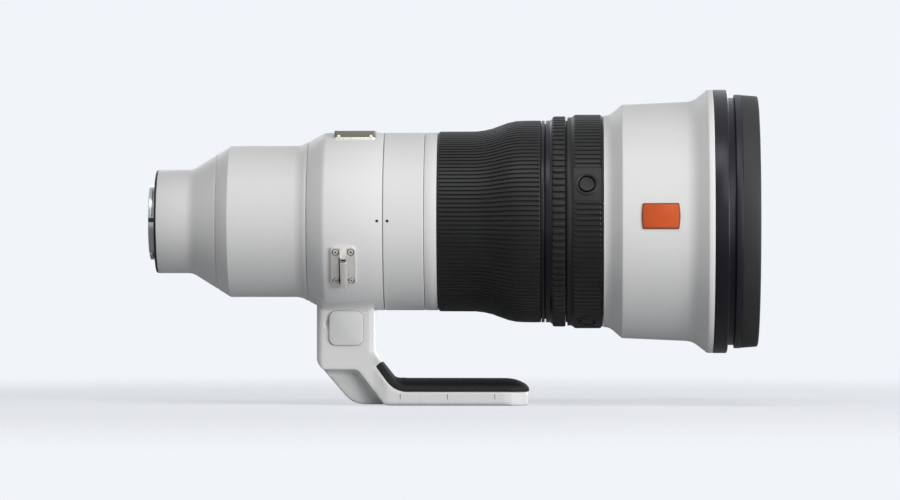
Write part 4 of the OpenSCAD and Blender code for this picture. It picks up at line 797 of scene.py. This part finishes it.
# %% [markdown]
# ## Front rim
#
# In front of the flare come three turned rings: the black anodised stop ring, the ring with the groove
# and the band that the hood clamps on, and the rubber bumper. The stop ring has a turned chamfer at its
# front edge, which draws a thin bright line. The band is a piece of its own with a duller finish, because
# the hood's clamp rubs on it.

# %% Front rings
piece(turned([(332.7, 74.1), (332.7, 78.89), (340.45, 78.89), (341.1, 78.2), (341.1, 74.1)], 0.2),
      "hood_stop_metal", "black_metal", "barrel", "hood_stop_ring")
piece(turned([(345.2, 73.9), (345.2, 75.97), (349.07, 75.97), (349.07, 73.9)], 0.3), "hood_band",
      "black_metal", "barrel", look=band_metal)
piece(turned([(329.5, 72.17), (329.5, 76.4), (332.5, 76.4), (332.5, 74.07), (349.1, 74.07), (349.1, 73.47),
              (359.1, 73.47), (359.1, 72.87), (356.0, 72.5), (356.0, 72.0), (352.5, 71.9), (352.5, 71.5),
              (347.2, 71.37), (345.2, 71.37), (345.2, 72.17)], 0.15),
      "front_ring_metal", "black_metal", "barrel", "front_ring")
piece(turned([(349.1, 73.5), (349.1, 75.77), (359.5, 74.97, 1.2), (359.5, 73.07), (359.1, 73.07),
              (359.1, 73.5)], 0.15), "bumper_rubber_ring", "rubber", "barrel", "front_bumper",
      look=bumper_rubber)

# %% [markdown]
# A lens is two shallow domes with one edge. Both domes are part of one profile that starts and ends on the
# axis, so that one spin closes the glass and its poles. The faces bulge as the solid model's do. The rear
# glass sits in a stepped cell, which is one more turned ring.

# %% Glass


def dish(x, bulge, radius, steps=24):
    """Points of a shallow spherical face, from the axis to its edge."""
    return [(x + bulge * (1 - (k / steps) ** 2), radius * k / steps) for k in range(steps + 1)]


def lens(x0, x1, back, front, radius):
    """A glass disc with two curved faces. back and front say how far they stand out."""
    return turned(dish(x0, back, radius) + dish(x1, front, radius)[::-1], 0, closed=False, steps=160)


piece(lens(338.8, 344.8, 9.29, 9.29, 72.14), "front_glass", "glass", "barrel", "front_element")
piece(lens(4.8, 9.8, 1.2, 1.2, 18.0), "rear_glass", "glass", "barrel", "rear_element")
piece(turned([(2.4, 16.53), (4.8, 16.53), (4.8, 18.03), (23.2, 18.03), (23.2, 23.03), (20.8, 23.03),
              (20.8, 20.53), (2.4, 20.53)], 0.2), "rear_cell_metal", "black_metal", "barrel", "rear_cell")

# %% [markdown]
# ## Foot
#
# Flat plates are drawn in X and Y. The foot's outline and the cap on its neck are drawn from the side, so
# one small tool stands a plate up. The foot and its pad share one seat, which is given here by its corner,
# its slope and the radius of its bend.

# %% Upright plates


def upright(bm, x=0.0, z=0.0, y=0.0):
    """Stands a flat plate up in the X and Z plane, with its top towards the camera's side."""
    bmesh.ops.rotate(bm, verts=bm.verts, cent=(0, 0, 0), matrix=Matrix.Rotation(math.pi / 2, 3, "X"))
    return moved(bm, x, y, z)


SEAT_CORNER = Vector((142.5, -101.7))
SEAT_SLOPE = math.radians(53)
SEAT_ROUND = 15
print("the pad's seat climbs at", round(math.degrees(SEAT_SLOPE)), "degrees")

# %% [markdown]
# The foot is a casting, so its edges are all rounded. Beveling them one by one fails where many meet. A
# voxel remesh of the solid and a few smoothing passes give it at once: the sharp edges melt to a radius of
# about a millimetre, and the flat faces stay flat. Before that, a wedge on each side deepens the hollow in
# the heel, a small dimple is cut beside the cap, and a filler widens the hollow under the pad.

# %% Foot casting


def cast(bm, voxel, passes):
    """Remeshes a solid and smooths it like a casting."""
    return shaped(as_object(bm, "casting"),
                  ("REMESH", {"mode": "VOXEL", "voxel_size": voxel * MM, "use_smooth_shade": True}),
                  ("SMOOTH", {"factor": 0.5, "iterations": passes}))


def scoop(side):
    """A wedge that deepens the hollow in the side of the heel towards its lower end."""
    wedge = plate([(90, -88.8), (120.3, -88.8, 5), (136.2, -109.6), (134, -112), (90, -112)], 0, 30)
    for vert in wedge.verts:
        if vert.co.z < 10 * MM:
            vert.co.z = 11.5 * MM + (vert.co.y + 88.8 * MM) * 0.21
    upright(wedge)
    bmesh.ops.scale(wedge, verts=wedge.verts, vec=(1, side, 1))
    bmesh.ops.recalc_face_normals(wedge, faces=wedge.faces)
    return wedge


dimple = bmesh.new()
bmesh.ops.create_uvsphere(dimple, u_segments=24, v_segments=16, radius=2.2 * MM)
bmesh.ops.scale(dimple, verts=dimple.verts, vec=(0.8, 0.6, 1.5))
moved(dimple, 102.5, -17.1, -60.8)
filler = upright(plate([(137.1, -94.5), (*SEAT_CORNER, SEAT_ROUND), (152, -101.7), (152, -103), (139, -103),
                        (135, -94.5)], -18.8, 18.8))
foot_blank = cut(merged("foot"), dimple, scoop(1), scoop(-1))
piece(cast(joined(foot_blank, filler), 0.7, 9), "foot_casting", "white_paint", "collar", "foot")

# %% [markdown]
# The neck grows out of the collar with a soft hollow at its sides, as the mould maker's fillet leaves it. A
# bevel can't run there, because neck and collar are two pieces. So the hollow is a strip of loops round the
# neck's outline: each loop stands further out and nearer to the collar's skin than the one before, and the
# last ones turn back inside so that the strip is closed.

# %% Loops round the neck
NECK_MIDDLE = Vector((113.05, 0))
NECK_CORE = Vector((13.25, 13.0))
NECK_ROUND = 4.0
HOLLOW_REACH, HOLLOW_DROP = 10, 3.8


def next_loop(bm, ring):
    """Extrudes a closed chain of edges. Gives the new points and the new chain."""
    grown = bmesh.ops.extrude_edge_only(bm, edges=ring)["geom"]
    fresh = {g for g in grown if isinstance(g, bmesh.types.BMVert)}
    return fresh, [g for g in grown if isinstance(g, bmesh.types.BMEdge) and set(g.verts) <= fresh]


def collar_skin(x):
    """The radius of the collar at a place along the axis."""
    return min(53.22, 48.07 + (x - 91.02) * 0.5213)


def neck_loop(bm, verts, out, drop):
    """Moves a loop: out from the neck's wall, and drop under the collar's skin. Both fade at the ends."""
    for vert in verts:
        spot = Vector(vert.co.xy) / MM - NECK_MIDDLE
        core = Vector([max(-c, min(c, value)) for value, c in zip(spot, NECK_CORE)])
        normal = (spot - core).normalized()
        share = 0.06 + 0.94 * normal.y ** 2
        x, y = NECK_MIDDLE + core + normal * (NECK_ROUND + out * (share if out > 0 else 1))
        z = -math.sqrt(collar_skin(x) ** 2 - y ** 2) - drop * (share if drop > 0 else 1)
        vert.co = x * MM, y * MM, z * MM


print("the hollow reaches", HOLLOW_REACH, "mm out from the neck")

# %% [markdown]
# The first loop is the outline of a plate with rounded corners, of which only the lower edge is kept. Each
# new loop is extruded from the last one and moved along a quarter circle.

# %% Hollow between neck and collar
hollow = slab(34.5, 34.0, NECK_ROUND, 0, 1, *NECK_MIDDLE)
bmesh.ops.delete(hollow, geom=[f for f in hollow.faces if len(f.verts) > 4], context="FACES_ONLY")
bmesh.ops.delete(hollow, geom=[v for v in hollow.verts if v.co.z > 0.5 * MM], context="VERTS")
ring = hollow.edges[:]
first_ring = ring[:]
neck_loop(hollow, hollow.verts, -0.1, HOLLOW_DROP)
for k in range(1, 12):
    fresh, ring = next_loop(hollow, ring)
    bend = math.radians(10 * min(k, 9))
    out, drop = HOLLOW_REACH * (1 - math.cos(bend)), HOLLOW_DROP * (1 - math.sin(bend)) - 0.04
    if k > 9:
        out, drop = (HOLLOW_REACH, -1.0) if k == 10 else (-1.0, -1.0)
    neck_loop(hollow, fresh, out, drop)
bmesh.ops.bridge_loops(hollow, edges=ring + first_ring)
piece(hollow, "neck_hollow", "white_paint", "collar")

# %% [markdown]
# The rubber pad is what the hand carries the lens by. It is swept along its seat: up the slope, round the
# bend and along the plate to a rounded end. Its cross-section is a low wall at each side with a crown
# between them. Each corner of the section keeps three numbers, its share of the width, of the wall and of
# the crown. A station along the way says where it is, how it tilts, its half width and its height.

# %% Section and stations of the pad
PAD_WALL = 2.6
PAD_LEG, PAD_CROWN = 4.7, 7.9
PAD_HALF_WIDTH = 18.6
END_START, END_ROUND = 208.8, 14
SEAT_LENGTH = 18.9
SEAT_TOP = SEAT_CORNER + Vector((-math.cos(SEAT_SLOPE), math.sin(SEAT_SLOPE))) * SEAT_LENGTH


def eased(t):
    return t * t * (3 - 2 * t)


def pad_width(x):
    return min(PAD_HALF_WIDTH, 16.6 + (x - 130.3) / 4)


section = [(-1, 0, 0), (-1, 0.85, 0), (-0.985, 1, 0.03)]
section += [(u / 7 * 0.94, 1, 1 - (u / 7 * 0.94) ** 2) for u in range(-6, 7)]
section += [(0.985, 1, 0.03), (1, 0.85, 0), (1, 0, 0)]
stations = [(*SEAT_TOP, SEAT_SLOPE, 15.9, 3.5),
            (*(SEAT_TOP + Vector((0.25, -0.33))), SEAT_SLOPE, 16.6, PAD_LEG)]
arc_start = SEAT_ROUND * math.tan(SEAT_SLOPE / 2)
arc_centre = SEAT_CORNER + Vector((arc_start, SEAT_ROUND))
for k in range(13):
    tilt = SEAT_SLOPE * (1 - k / 12)
    spot = arc_centre - Vector((math.sin(tilt), math.cos(tilt))) * SEAT_ROUND
    rise = eased(min(1, (k + 2.5) / 12))
    stations.append((*spot, tilt, pad_width(spot.x), PAD_LEG + (PAD_CROWN - PAD_LEG) * rise))
for x, top in ((180, 7.9), (208.8, 7.85), (212, 7.6), (214.5, 7.1), (216.7, 6.4), (219, 5.3), (221, 4.1),
               (222.2, 2.7), (222.7, 1.6)):
    narrow = END_ROUND - math.sqrt(END_ROUND ** 2 - max(0, x - END_START) ** 2)
    stations.append((x, SEAT_CORNER.y, 0, PAD_HALF_WIDTH - narrow, top))
print(len(stations), "stations with", len(section), "corners each")

# %% [markdown]
# The section is extruded from station to station. The shares are a layer on its corners, and the extruded
# copies inherit them, so every station can set its own width and height. A second layer, `side`, tells the
# rubber's colour where the pebbled wall is; the top outside it gets the painted shade.

# %% Palm pad
pad = bmesh.new()
shares = pad.verts.layers.float_vector.new("shares")
unshaded_wall_layer = pad.verts.layers.float.new("side")
corners = [pad.verts.new((0, 0, 0)) for _ in section]
for corner, share in zip(corners, section):
    corner[shares] = share
    # 1 on the wall, 0 on the top, where the rubber's colour paints shade.
    corner[unshaded_wall_layer] = 1.0 if share[2] < 0.05 else 0.0
ring = [pad.edges.new(pair) for pair in zip(corners, corners[1:] + corners[:1])]
fresh = corners
for k, (x, z, tilt, half, top) in enumerate(stations):
    if k:
        fresh, ring = next_loop(pad, ring)
    wall = min(PAD_WALL + 1.4 * tilt / SEAT_SLOPE, 0.9 * top)
    for vert in fresh:
        across, on_wall, on_crown = vert[shares]
        height = on_wall * wall + on_crown * (top - wall)
        vert.co = [v * MM for v in (x + math.sin(tilt) * height, across * half, z + math.cos(tilt) * height)]
bmesh.ops.holes_fill(pad, edges=[e for e in pad.edges if e.is_boundary], sides=0)
bmesh.ops.recalc_face_normals(pad, faces=pad.faces)
piece(soften(pad, 0.4, math.radians(35)), "palm_pad", "rubber", "collar", "foot_pad", look=pad_rubber)

# %% [markdown]
# A square cap closes the neck's side. A thin grey plate behind it, slightly larger, is painted shade: it
# draws the dark gap between cap and casting, which the shade in a real groove of a quarter of a millimetre
# would draw less clearly. The plate of the foot has three engraved marks over the threaded holes, on both
# sides.

# %% Cap and tick marks
CAP_X, CAP_Z, CAP_WALL = 113.6, -63.75, -17.0
cap = soften(slab(20.3, 20.3, 4.0, 0, 1.25), 0.5)
piece(upright(cap, CAP_X, CAP_Z, CAP_WALL), "cap_plate", "white_paint", "collar", "foot_cap")
# Painted shade: a grey plate that draws the dark gap round the cap.
piece(upright(slab(20.8, 20.8, 4.3, 0, 0.12), CAP_X, CAP_Z, CAP_WALL), "cap_gap_painted_shade", "black_plastic", "collar",
      look=engraving_and_painted_shade)
ticks = [upright(slab(0.5, 3.2, 0.12, height, height + 0.15), x, -104.7)
         for x in (145.9, 174.1, 202.3) for height in (18.88, -19.03)]
piece(joined(*ticks), "thread_marks", "black_plastic", "collar", look=engraving_and_painted_shade)

# %% [markdown]
# ## Lugs and plates
#
# A plate that lies on the barrel is bent round the axis. It is drawn flat, cut into strips, so that it has
# points to bend at, and then every point moves to its place on the curve. A Simple Deform modifier bends
# too, but here the radius is known exactly.

# %% Bent plates


def bent(bm, radius, angle, strips=10, taper=0.0):
    """Bends a flat plate round the axis. Its Y becomes the arc, its Z the height over the skin."""
    low, high = min(v.co.y for v in bm.verts), max(v.co.y for v in bm.verts)
    for k in range(1, strips):
        bmesh.ops.bisect_plane(bm, geom=bm.verts[:] + bm.edges[:] + bm.faces[:], dist=1e-7,
                               plane_co=(0, low + (high - low) * k / strips, 0), plane_no=(0, 1, 0))
    for vert in bm.verts:
        x, along, height = vert.co
        turned_by, out = along / (radius * MM), radius * MM + x * taper + height
        vert.co = x, -out * math.cos(turned_by), out * math.sin(turned_by)
    return turn(bm, angle)


print("bent plates take their arc from Y and their height from Z")

# %% [markdown]
# A strap lug is a small steel plate on the collar, with a bar along its middle that the strap goes under. It
# is pressed and milled in one piece. Four socket screws hold it in wells. The plate is cut twice, because
# the wells touch the gap beside the bar.

# %% Strap lug
LUG_X, LUG_ANGLE, LUG_SKIN = 113.0, -30.0, 53.22
LUG_SCREWS = [(i * 4.55, math.degrees(j * 9.4 / LUG_SKIN)) for i in (-1, 1) for j in (-1, 1)]


def lug():
    """One strap lug on the near side."""
    base = bent(soften(slab(15.1, 25.9, 2.6, -0.3, 1.5), 0.75), LUG_SKIN, 0, 12)
    slot = bent(slab(3.3, 2.6, 0.5, 0.3, 3, 0, 4.9), LUG_SKIN, 0, 4)
    gap = bent(slab(0.8, 19.5, 0.2, 0.1, 3, -2.25, -3.6), LUG_SKIN, 0, 8)
    wells = [knob([(0, 53.7), (2.1, 53.7), (2.1, 56), (0, 56)], *spot, steps=32) for spot in LUG_SCREWS]
    base = cut(cut(base, slot, gap), *wells)
    stem = slab(3.7, 6.6, 0.5, 1.3, 3.5, 0, 9.2)
    for vert in stem.verts:
        if vert.co.z > 2 * MM:
            vert.co.z -= max(0, vert.co.y - 6.6 * MM) * 0.36
    bar = soften(slab(3.7, 17.3, 0.5, 1.3, 3.4, 0, -5.0), 0.35)
    heads = [knob([(0, 54.0), (0.6, 54.0), (0.62, 54.8, 0.1), (1.5, 54.86, 0.2), (1.62, 53.2), (0, 53.2)],
                  *spot, steps=32) for spot in LUG_SCREWS]
    parts = base, bent(soften(stem, 0.3), LUG_SKIN, 0, 4), bent(bar, LUG_SKIN, 0, 8), *heads
    return moved(joined(*parts), LUG_X)


print("a strap lug has", len(LUG_SCREWS), "screws")

# %% [markdown]
# What lies deep in the lug is dark: the slot, the gap, the wells and the sockets of the screws. Light
# still reaches the bottom of such shallow cuts, so thin black floors lie there as painted shade. The far
# lug is the mirror image of the near one, and a mirrored mesh has its faces turned round.

# %% Both strap lugs


def lug_painted_shade():
    """Thin dark floors of painted shade for the slot, the gap, the screw wells and the sockets of one lug."""
    shade_floors = [bent(slab(3.6, 2.9, 0.5, 0.2, 0.4, 0, 4.9), LUG_SKIN, 0, 4),
              bent(slab(1.1, 19.8, 0.2, 0.0, 0.25, -2.25, -3.6), LUG_SKIN, 0, 8)]
    for spot in LUG_SCREWS:
        shade_floors += [knob([(0, 53.6), (2.15, 53.6), (2.15, 53.8), (0, 53.8)][::-1], *spot, steps=32),
                   knob([(0, 54.3), (0.64, 54.3), (0.64, 54.1), (0, 54.1)], *spot, steps=20)]
    return moved(joined(*shade_floors), LUG_X)


# The second pass lays the black floors of painted shade.
for make, name, finish, look, replaced in ((lug, "strap_lug_plates", "steel", None, ["strap_lugs"]),
                                           (lug_painted_shade, "strap_lug_depths", "black_plastic", ink_and_painted_shade, [])):
    far_lug = make()
    bmesh.ops.scale(far_lug, verts=far_lug.verts, vec=(1, 1, -1))
    bmesh.ops.reverse_faces(far_lug, faces=far_lug.faces)
    piece(joined(turn(make(), LUG_ANGLE), turn(far_lug, 180 - LUG_ANGLE)), name, finish, "collar", *replaced,
          look=look)

# %% [markdown]
# A flat plate sits across the top of the collar in a bright steel frame. It stays blank here. The frame is a
# second block under the plate, a little longer, and two screws show on each of its long sides.

# %% Name plate
PLATE_X, PLATE_SIDE = 118.85, 20.8
piece(soften(slab(24.3, 2 * PLATE_SIDE, 1.0, 50.2, 54.02, PLATE_X), 0.25), "blank_name_plate", "blank_plate",
      "collar", "name_plate")
frame_edge = soften(slab(23.8, 2 * PLATE_SIDE + 0.3, 1.0, 47.5, 50.25, PLATE_X), 0.3)
plate_screws = [knob([(0, 21.5), (0.9, 21.4, 0.4), (1.1, 20.6), (0, 20.6)], x, a, z, steps=24)
                for x in (109.2, 128.4) for a, z in ((0, 50.7), (180, -50.7))]
piece(joined(frame_edge, *plate_screws), "name_plate_frame", "steel", "collar")

# %% [markdown]
# The coloured plate on the front barrel is a thin lacquered pressing whose ends are slightly bowed. Its
# darker rim is a second plate underneath, three quarters of a millimetre larger all round. The barrel is
# slightly conical there, so the plate is bent with a taper.

# %% Coloured plate
BADGE_X, BADGE_SKIN, BADGE_ANGLE, BADGE_TAPER = 300.7, 70.9, 2.3, 0.044


def badge(inset, low, high):
    """The outline of the badge, whose ends are slightly bowed."""
    w, h = 10.75 - inset, 7.6 - inset
    return plate([(-w, -h, 0.9), (w, -h, 0.9), (w + 0.75, 0, 24), (w, h, 0.9), (-w, h, 0.9),
                  (-w - 0.75, 0, 24)], low, high)


rim = Look("badge_rim", (0.24, 0.05, 0.016), 0.35, Specular_IOR_Level=0.2)
rim.set("Roughness", rim.noise(400) * 0.15 + 0.28)
for name, inset, low, high, look, replaced in (("badge_rim", 0, -0.4, 0.62, rim, ["accent_badge"]),
                                               ("badge_face", 0.75, 0.3, 0.75, None, [])):
    shape = bent(soften(badge(inset, low, high), 0.12), BADGE_SKIN, BADGE_ANGLE, 12, taper=BADGE_TAPER)
    piece(moved(shape, BADGE_X), name, "accent", "barrel", *replaced, look=look)

# %% [markdown]
# ## Controls on the far side
#
# The lock knob clamps the collar. It is a moulded knob with flutes for the fingers, and the solid model
# already has them, so a dressed copy with a broad bevel is enough.

# %% Lock knob
dressed("lock_knob", "lock_knob", 0.3)

# %% [markdown]
# The switch panel is a curved plate with six sliding switches and one button. Each slides on its own body,
# so each is a piece of its own, again a dressed copy with small bevels.

# %% Switch panel
dressed("switch_panel", "barrel", 0.2)
for name in ("focus_mode_switch", "manual_override_switch", "focus_limit_switch", "stabiliser_switch",
             "stabiliser_mode_switch", "function_switch", "set_button"):
    dressed(name, name, 0.2)

# %% [markdown]
# A real panel has words beside its switches. Here each switch has a plain pale stroke at both ends of its
# travel, printed on the panel as thin bent plates. Two black dots on the near side show when the collar is
# straight: one rides on the collar and one on the barrel.

# %% Dots and tick marks
PANEL_SKIN, PANEL_X = 54.02, 148.5
STROKE_ANGLE, STROKE_STEP, STROKE_SIDE = 147, 11, 7.4
strokes = [moved(bent(slab(1.5, 0.5, 0.15, -0.1, 0.06), PANEL_SKIN, STROKE_ANGLE + STROKE_STEP * i, 2),
                 PANEL_X + x) for i in range(6) for x in (-STROKE_SIDE, STROKE_SIDE)]
pale_ink = Look("pale_ink", (0.55, 0.55, 0.55), 0.5, Specular_IOR_Level=0.2)
pale_ink.set("Roughness", pale_ink.noise(900) * 0.2 + 0.4)
piece(joined(*strokes), "switch_marks", "black_plastic", "barrel", look=pale_ink)
dots = [knob([(0, 53.24), (0.9, 53.24), (0.9, 53.2), (0, 53.2)], x, steps=24) for x in (133.1, 139.2)]
piece(dots[0], "collar_index_dot", "black_plastic", "collar", look=ink_and_painted_shade)
piece(dots[1], "barrel_index_dot", "black_plastic", "barrel", look=ink_and_painted_shade)

# %% [markdown]
# ## Studio
#
# The lens stands on a plain pale floor. A white floor that is lit like the object would throw too much light
# up at it, so the floor has two colours: the pale one is what the camera sees, with a glow of its own so
# that only a soft shadow stays, and a darker one is what light meets. Towards its edge the floor turns
# transparent, and no line shows where it meets the background.

# %% Floor
BACKGROUND = (0.880, 0.905, 0.947)
FLOOR_DIM = (0.45, 0.46, 0.48)
FLOOR_GLOW = 0.6
FLOOR_FADE = (0.3, 0.85)
FLOOR_RADIUS, FLOOR_HEIGHT = 0.9, -0.1102
LENS_MIDDLE = 0.18
floor_look = Look("pale_floor", BACKGROUND, 0.7, Specular_IOR_Level=0.0)
seen = floor_look.add("ShaderNodeLightPath", out="Is Camera Ray")
floor_look.set("Base Color", floor_look.blend(seen, FLOOR_DIM, BACKGROUND))
glow = floor_look.add("ShaderNodeEmission", inputs={"Color": BACKGROUND, "Strength": 1.0})
lit = floor_look.add("ShaderNodeMixShader", inputs={
    0: seen * FLOOR_GLOW, 1: Socket(floor_look, floor_look.shader.outputs[0]), 2: glow})
reach = floor_look.add("ShaderNodeVectorMath", {"operation": "LENGTH"}, {
    0: floor_look.add("ShaderNodeTexCoord", out="Object")}, out="Value")
fade = floor_look.add("ShaderNodeMapRange", {"interpolation_type": "SMOOTHSTEP"}, {
    "Value": reach, "From Min": FLOOR_FADE[0], "From Max": FLOOR_FADE[1]})
clear = floor_look.add("ShaderNodeBsdfTransparent")
whole = floor_look.add("ShaderNodeMixShader", inputs={0: fade, 1: lit, 2: clear})
floor_look.plug(floor_look.nodes["Material Output"].inputs["Surface"], whole)
floor_mesh = bmesh.new()
bmesh.ops.create_circle(floor_mesh, cap_ends=True, radius=FLOOR_RADIUS, segments=64)
floor = as_object(floor_mesh, "floor")
floor.location = (LENS_MIDDLE, 0, FLOOR_HEIGHT)
floor.data.materials.append(floor_look.material)
floor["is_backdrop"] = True
print("floor ready, radius", FLOOR_RADIUS, "m")

# %% [markdown]
# The background is a colour, not a light. The camera, reflections and glass see it at full strength, and
# everything else gets a dim white room, so that the pale background doesn't wash the object out.

# %% Background
ROOM_LIGHT = 0.10
world = bpy.data.worlds.new("studio")
bpy.context.scene.world = world
room = Tree(world)
dim = room.add("ShaderNodeBackground", inputs={"Color": (1, 1, 1), "Strength": ROOM_LIGHT})
backdrop = room.add("ShaderNodeBackground", inputs={"Color": BACKGROUND, "Strength": 1.0})
camera_ray, glossy_ray, glass_ray = [room.add("ShaderNodeLightPath", out=kind) for kind in (
    "Is Camera Ray", "Is Glossy Ray", "Is Transmission Ray")]
studio = room.add("ShaderNodeMixShader", inputs={0: camera_ray + glossy_ray + glass_ray, 1: dim, 2: backdrop})
room.plug(room.nodes["World Output"].inputs["Surface"], studio)
print("room at", ROOM_LIGHT, "of the background's strength")

# %% [markdown]
# Seven soft area lamps stand round the lens. A strong one and a weaker one, low at the front right, give the
# white barrel its fall from light to shade. One above the camera draws the long highlight, one fills its
# lower edge and a weak one lights the left end. Two stand behind, so that the far side is not in the dark.

# %% Lamps
LAMP_TARGET = Vector((LENS_MIDDLE, 0, 0))
LAMP_DISTANCE = 1.9
SQUARE = (0.9, 0.9)
LAMPS = (  # name, azimuth, elevation, size in metres, power in watts
    ("key", 50, 5, SQUARE, 24), ("front", 80, 5, SQUARE, 10), ("highlight", -6, 57, (1.3, 0.7), 11),
    ("middle", 20, 30, SQUARE, 6), ("left", -70, 30, SQUARE, 3), ("far_side", 150, 6, (1.1, 0.9), 15),
    ("far_top", 205, 20, SQUARE, 4))


def aimed(obj, spot, target):
    obj.location = spot
    obj.rotation_euler = (Vector(target) - Vector(spot)).to_track_quat("-Z", "Y").to_euler()


def lamp(name, azimuth, elevation, size, power):
    """An area lamp. Azimuth runs from the camera's side towards the front of the lens."""
    data = bpy.data.lights.new(name, "AREA")
    data.shape, data.size, data.size_y, data.energy = "RECTANGLE", *size, power
    obj = bpy.data.objects.new(name, data)
    bpy.context.scene.collection.objects.link(obj)
    a, e = math.radians(azimuth), math.radians(elevation)
    aim = Vector((math.sin(a) * math.cos(e), -math.cos(a) * math.cos(e), math.sin(e)))
    aimed(obj, LAMP_TARGET + aim * LAMP_DISTANCE, LAMP_TARGET)


for settings in LAMPS:
    lamp(*settings)
print(len(LAMPS), "lamps,", sum(settings[-1] for settings in LAMPS), "W in all")

# %% [markdown]
# The camera is where the photographer's was: level with the lens, a long way off with a long lens, and a
# little to the right of its middle, which shows in how much of the front rim's side is seen.

# %% Camera
CAMERA_SPOT, CAMERA_AIM = (0.2498, -3.355, -0.0171), (0.1752, 0, -0.0171)
camera_data = bpy.data.cameras.new("camera")
camera_data.lens, camera_data.sensor_width = 223.7, 36
camera_data.clip_end = 50
camera = bpy.data.objects.new("camera", camera_data)
bpy.context.scene.collection.objects.link(camera)
aimed(camera, CAMERA_SPOT, CAMERA_AIM)
bpy.context.scene.camera = camera
bpy.context.scene.view_settings.view_transform = "Standard"
print("camera at", CAMERA_SPOT)

# %% [markdown]
# Last, the box of what is seen is compared with the box of the solid model. No rigid piece may stand
# outside it.

# %% Sizes and finish
visual_box = [list(corner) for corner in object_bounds()]
for i, axis in enumerate("XYZ"):
    off = [round(1000 * (visual_box[k][i] - cad_box[k][i]), 2) for k in (0, 1)]
    print(axis, "low and high off by", off, "mm")
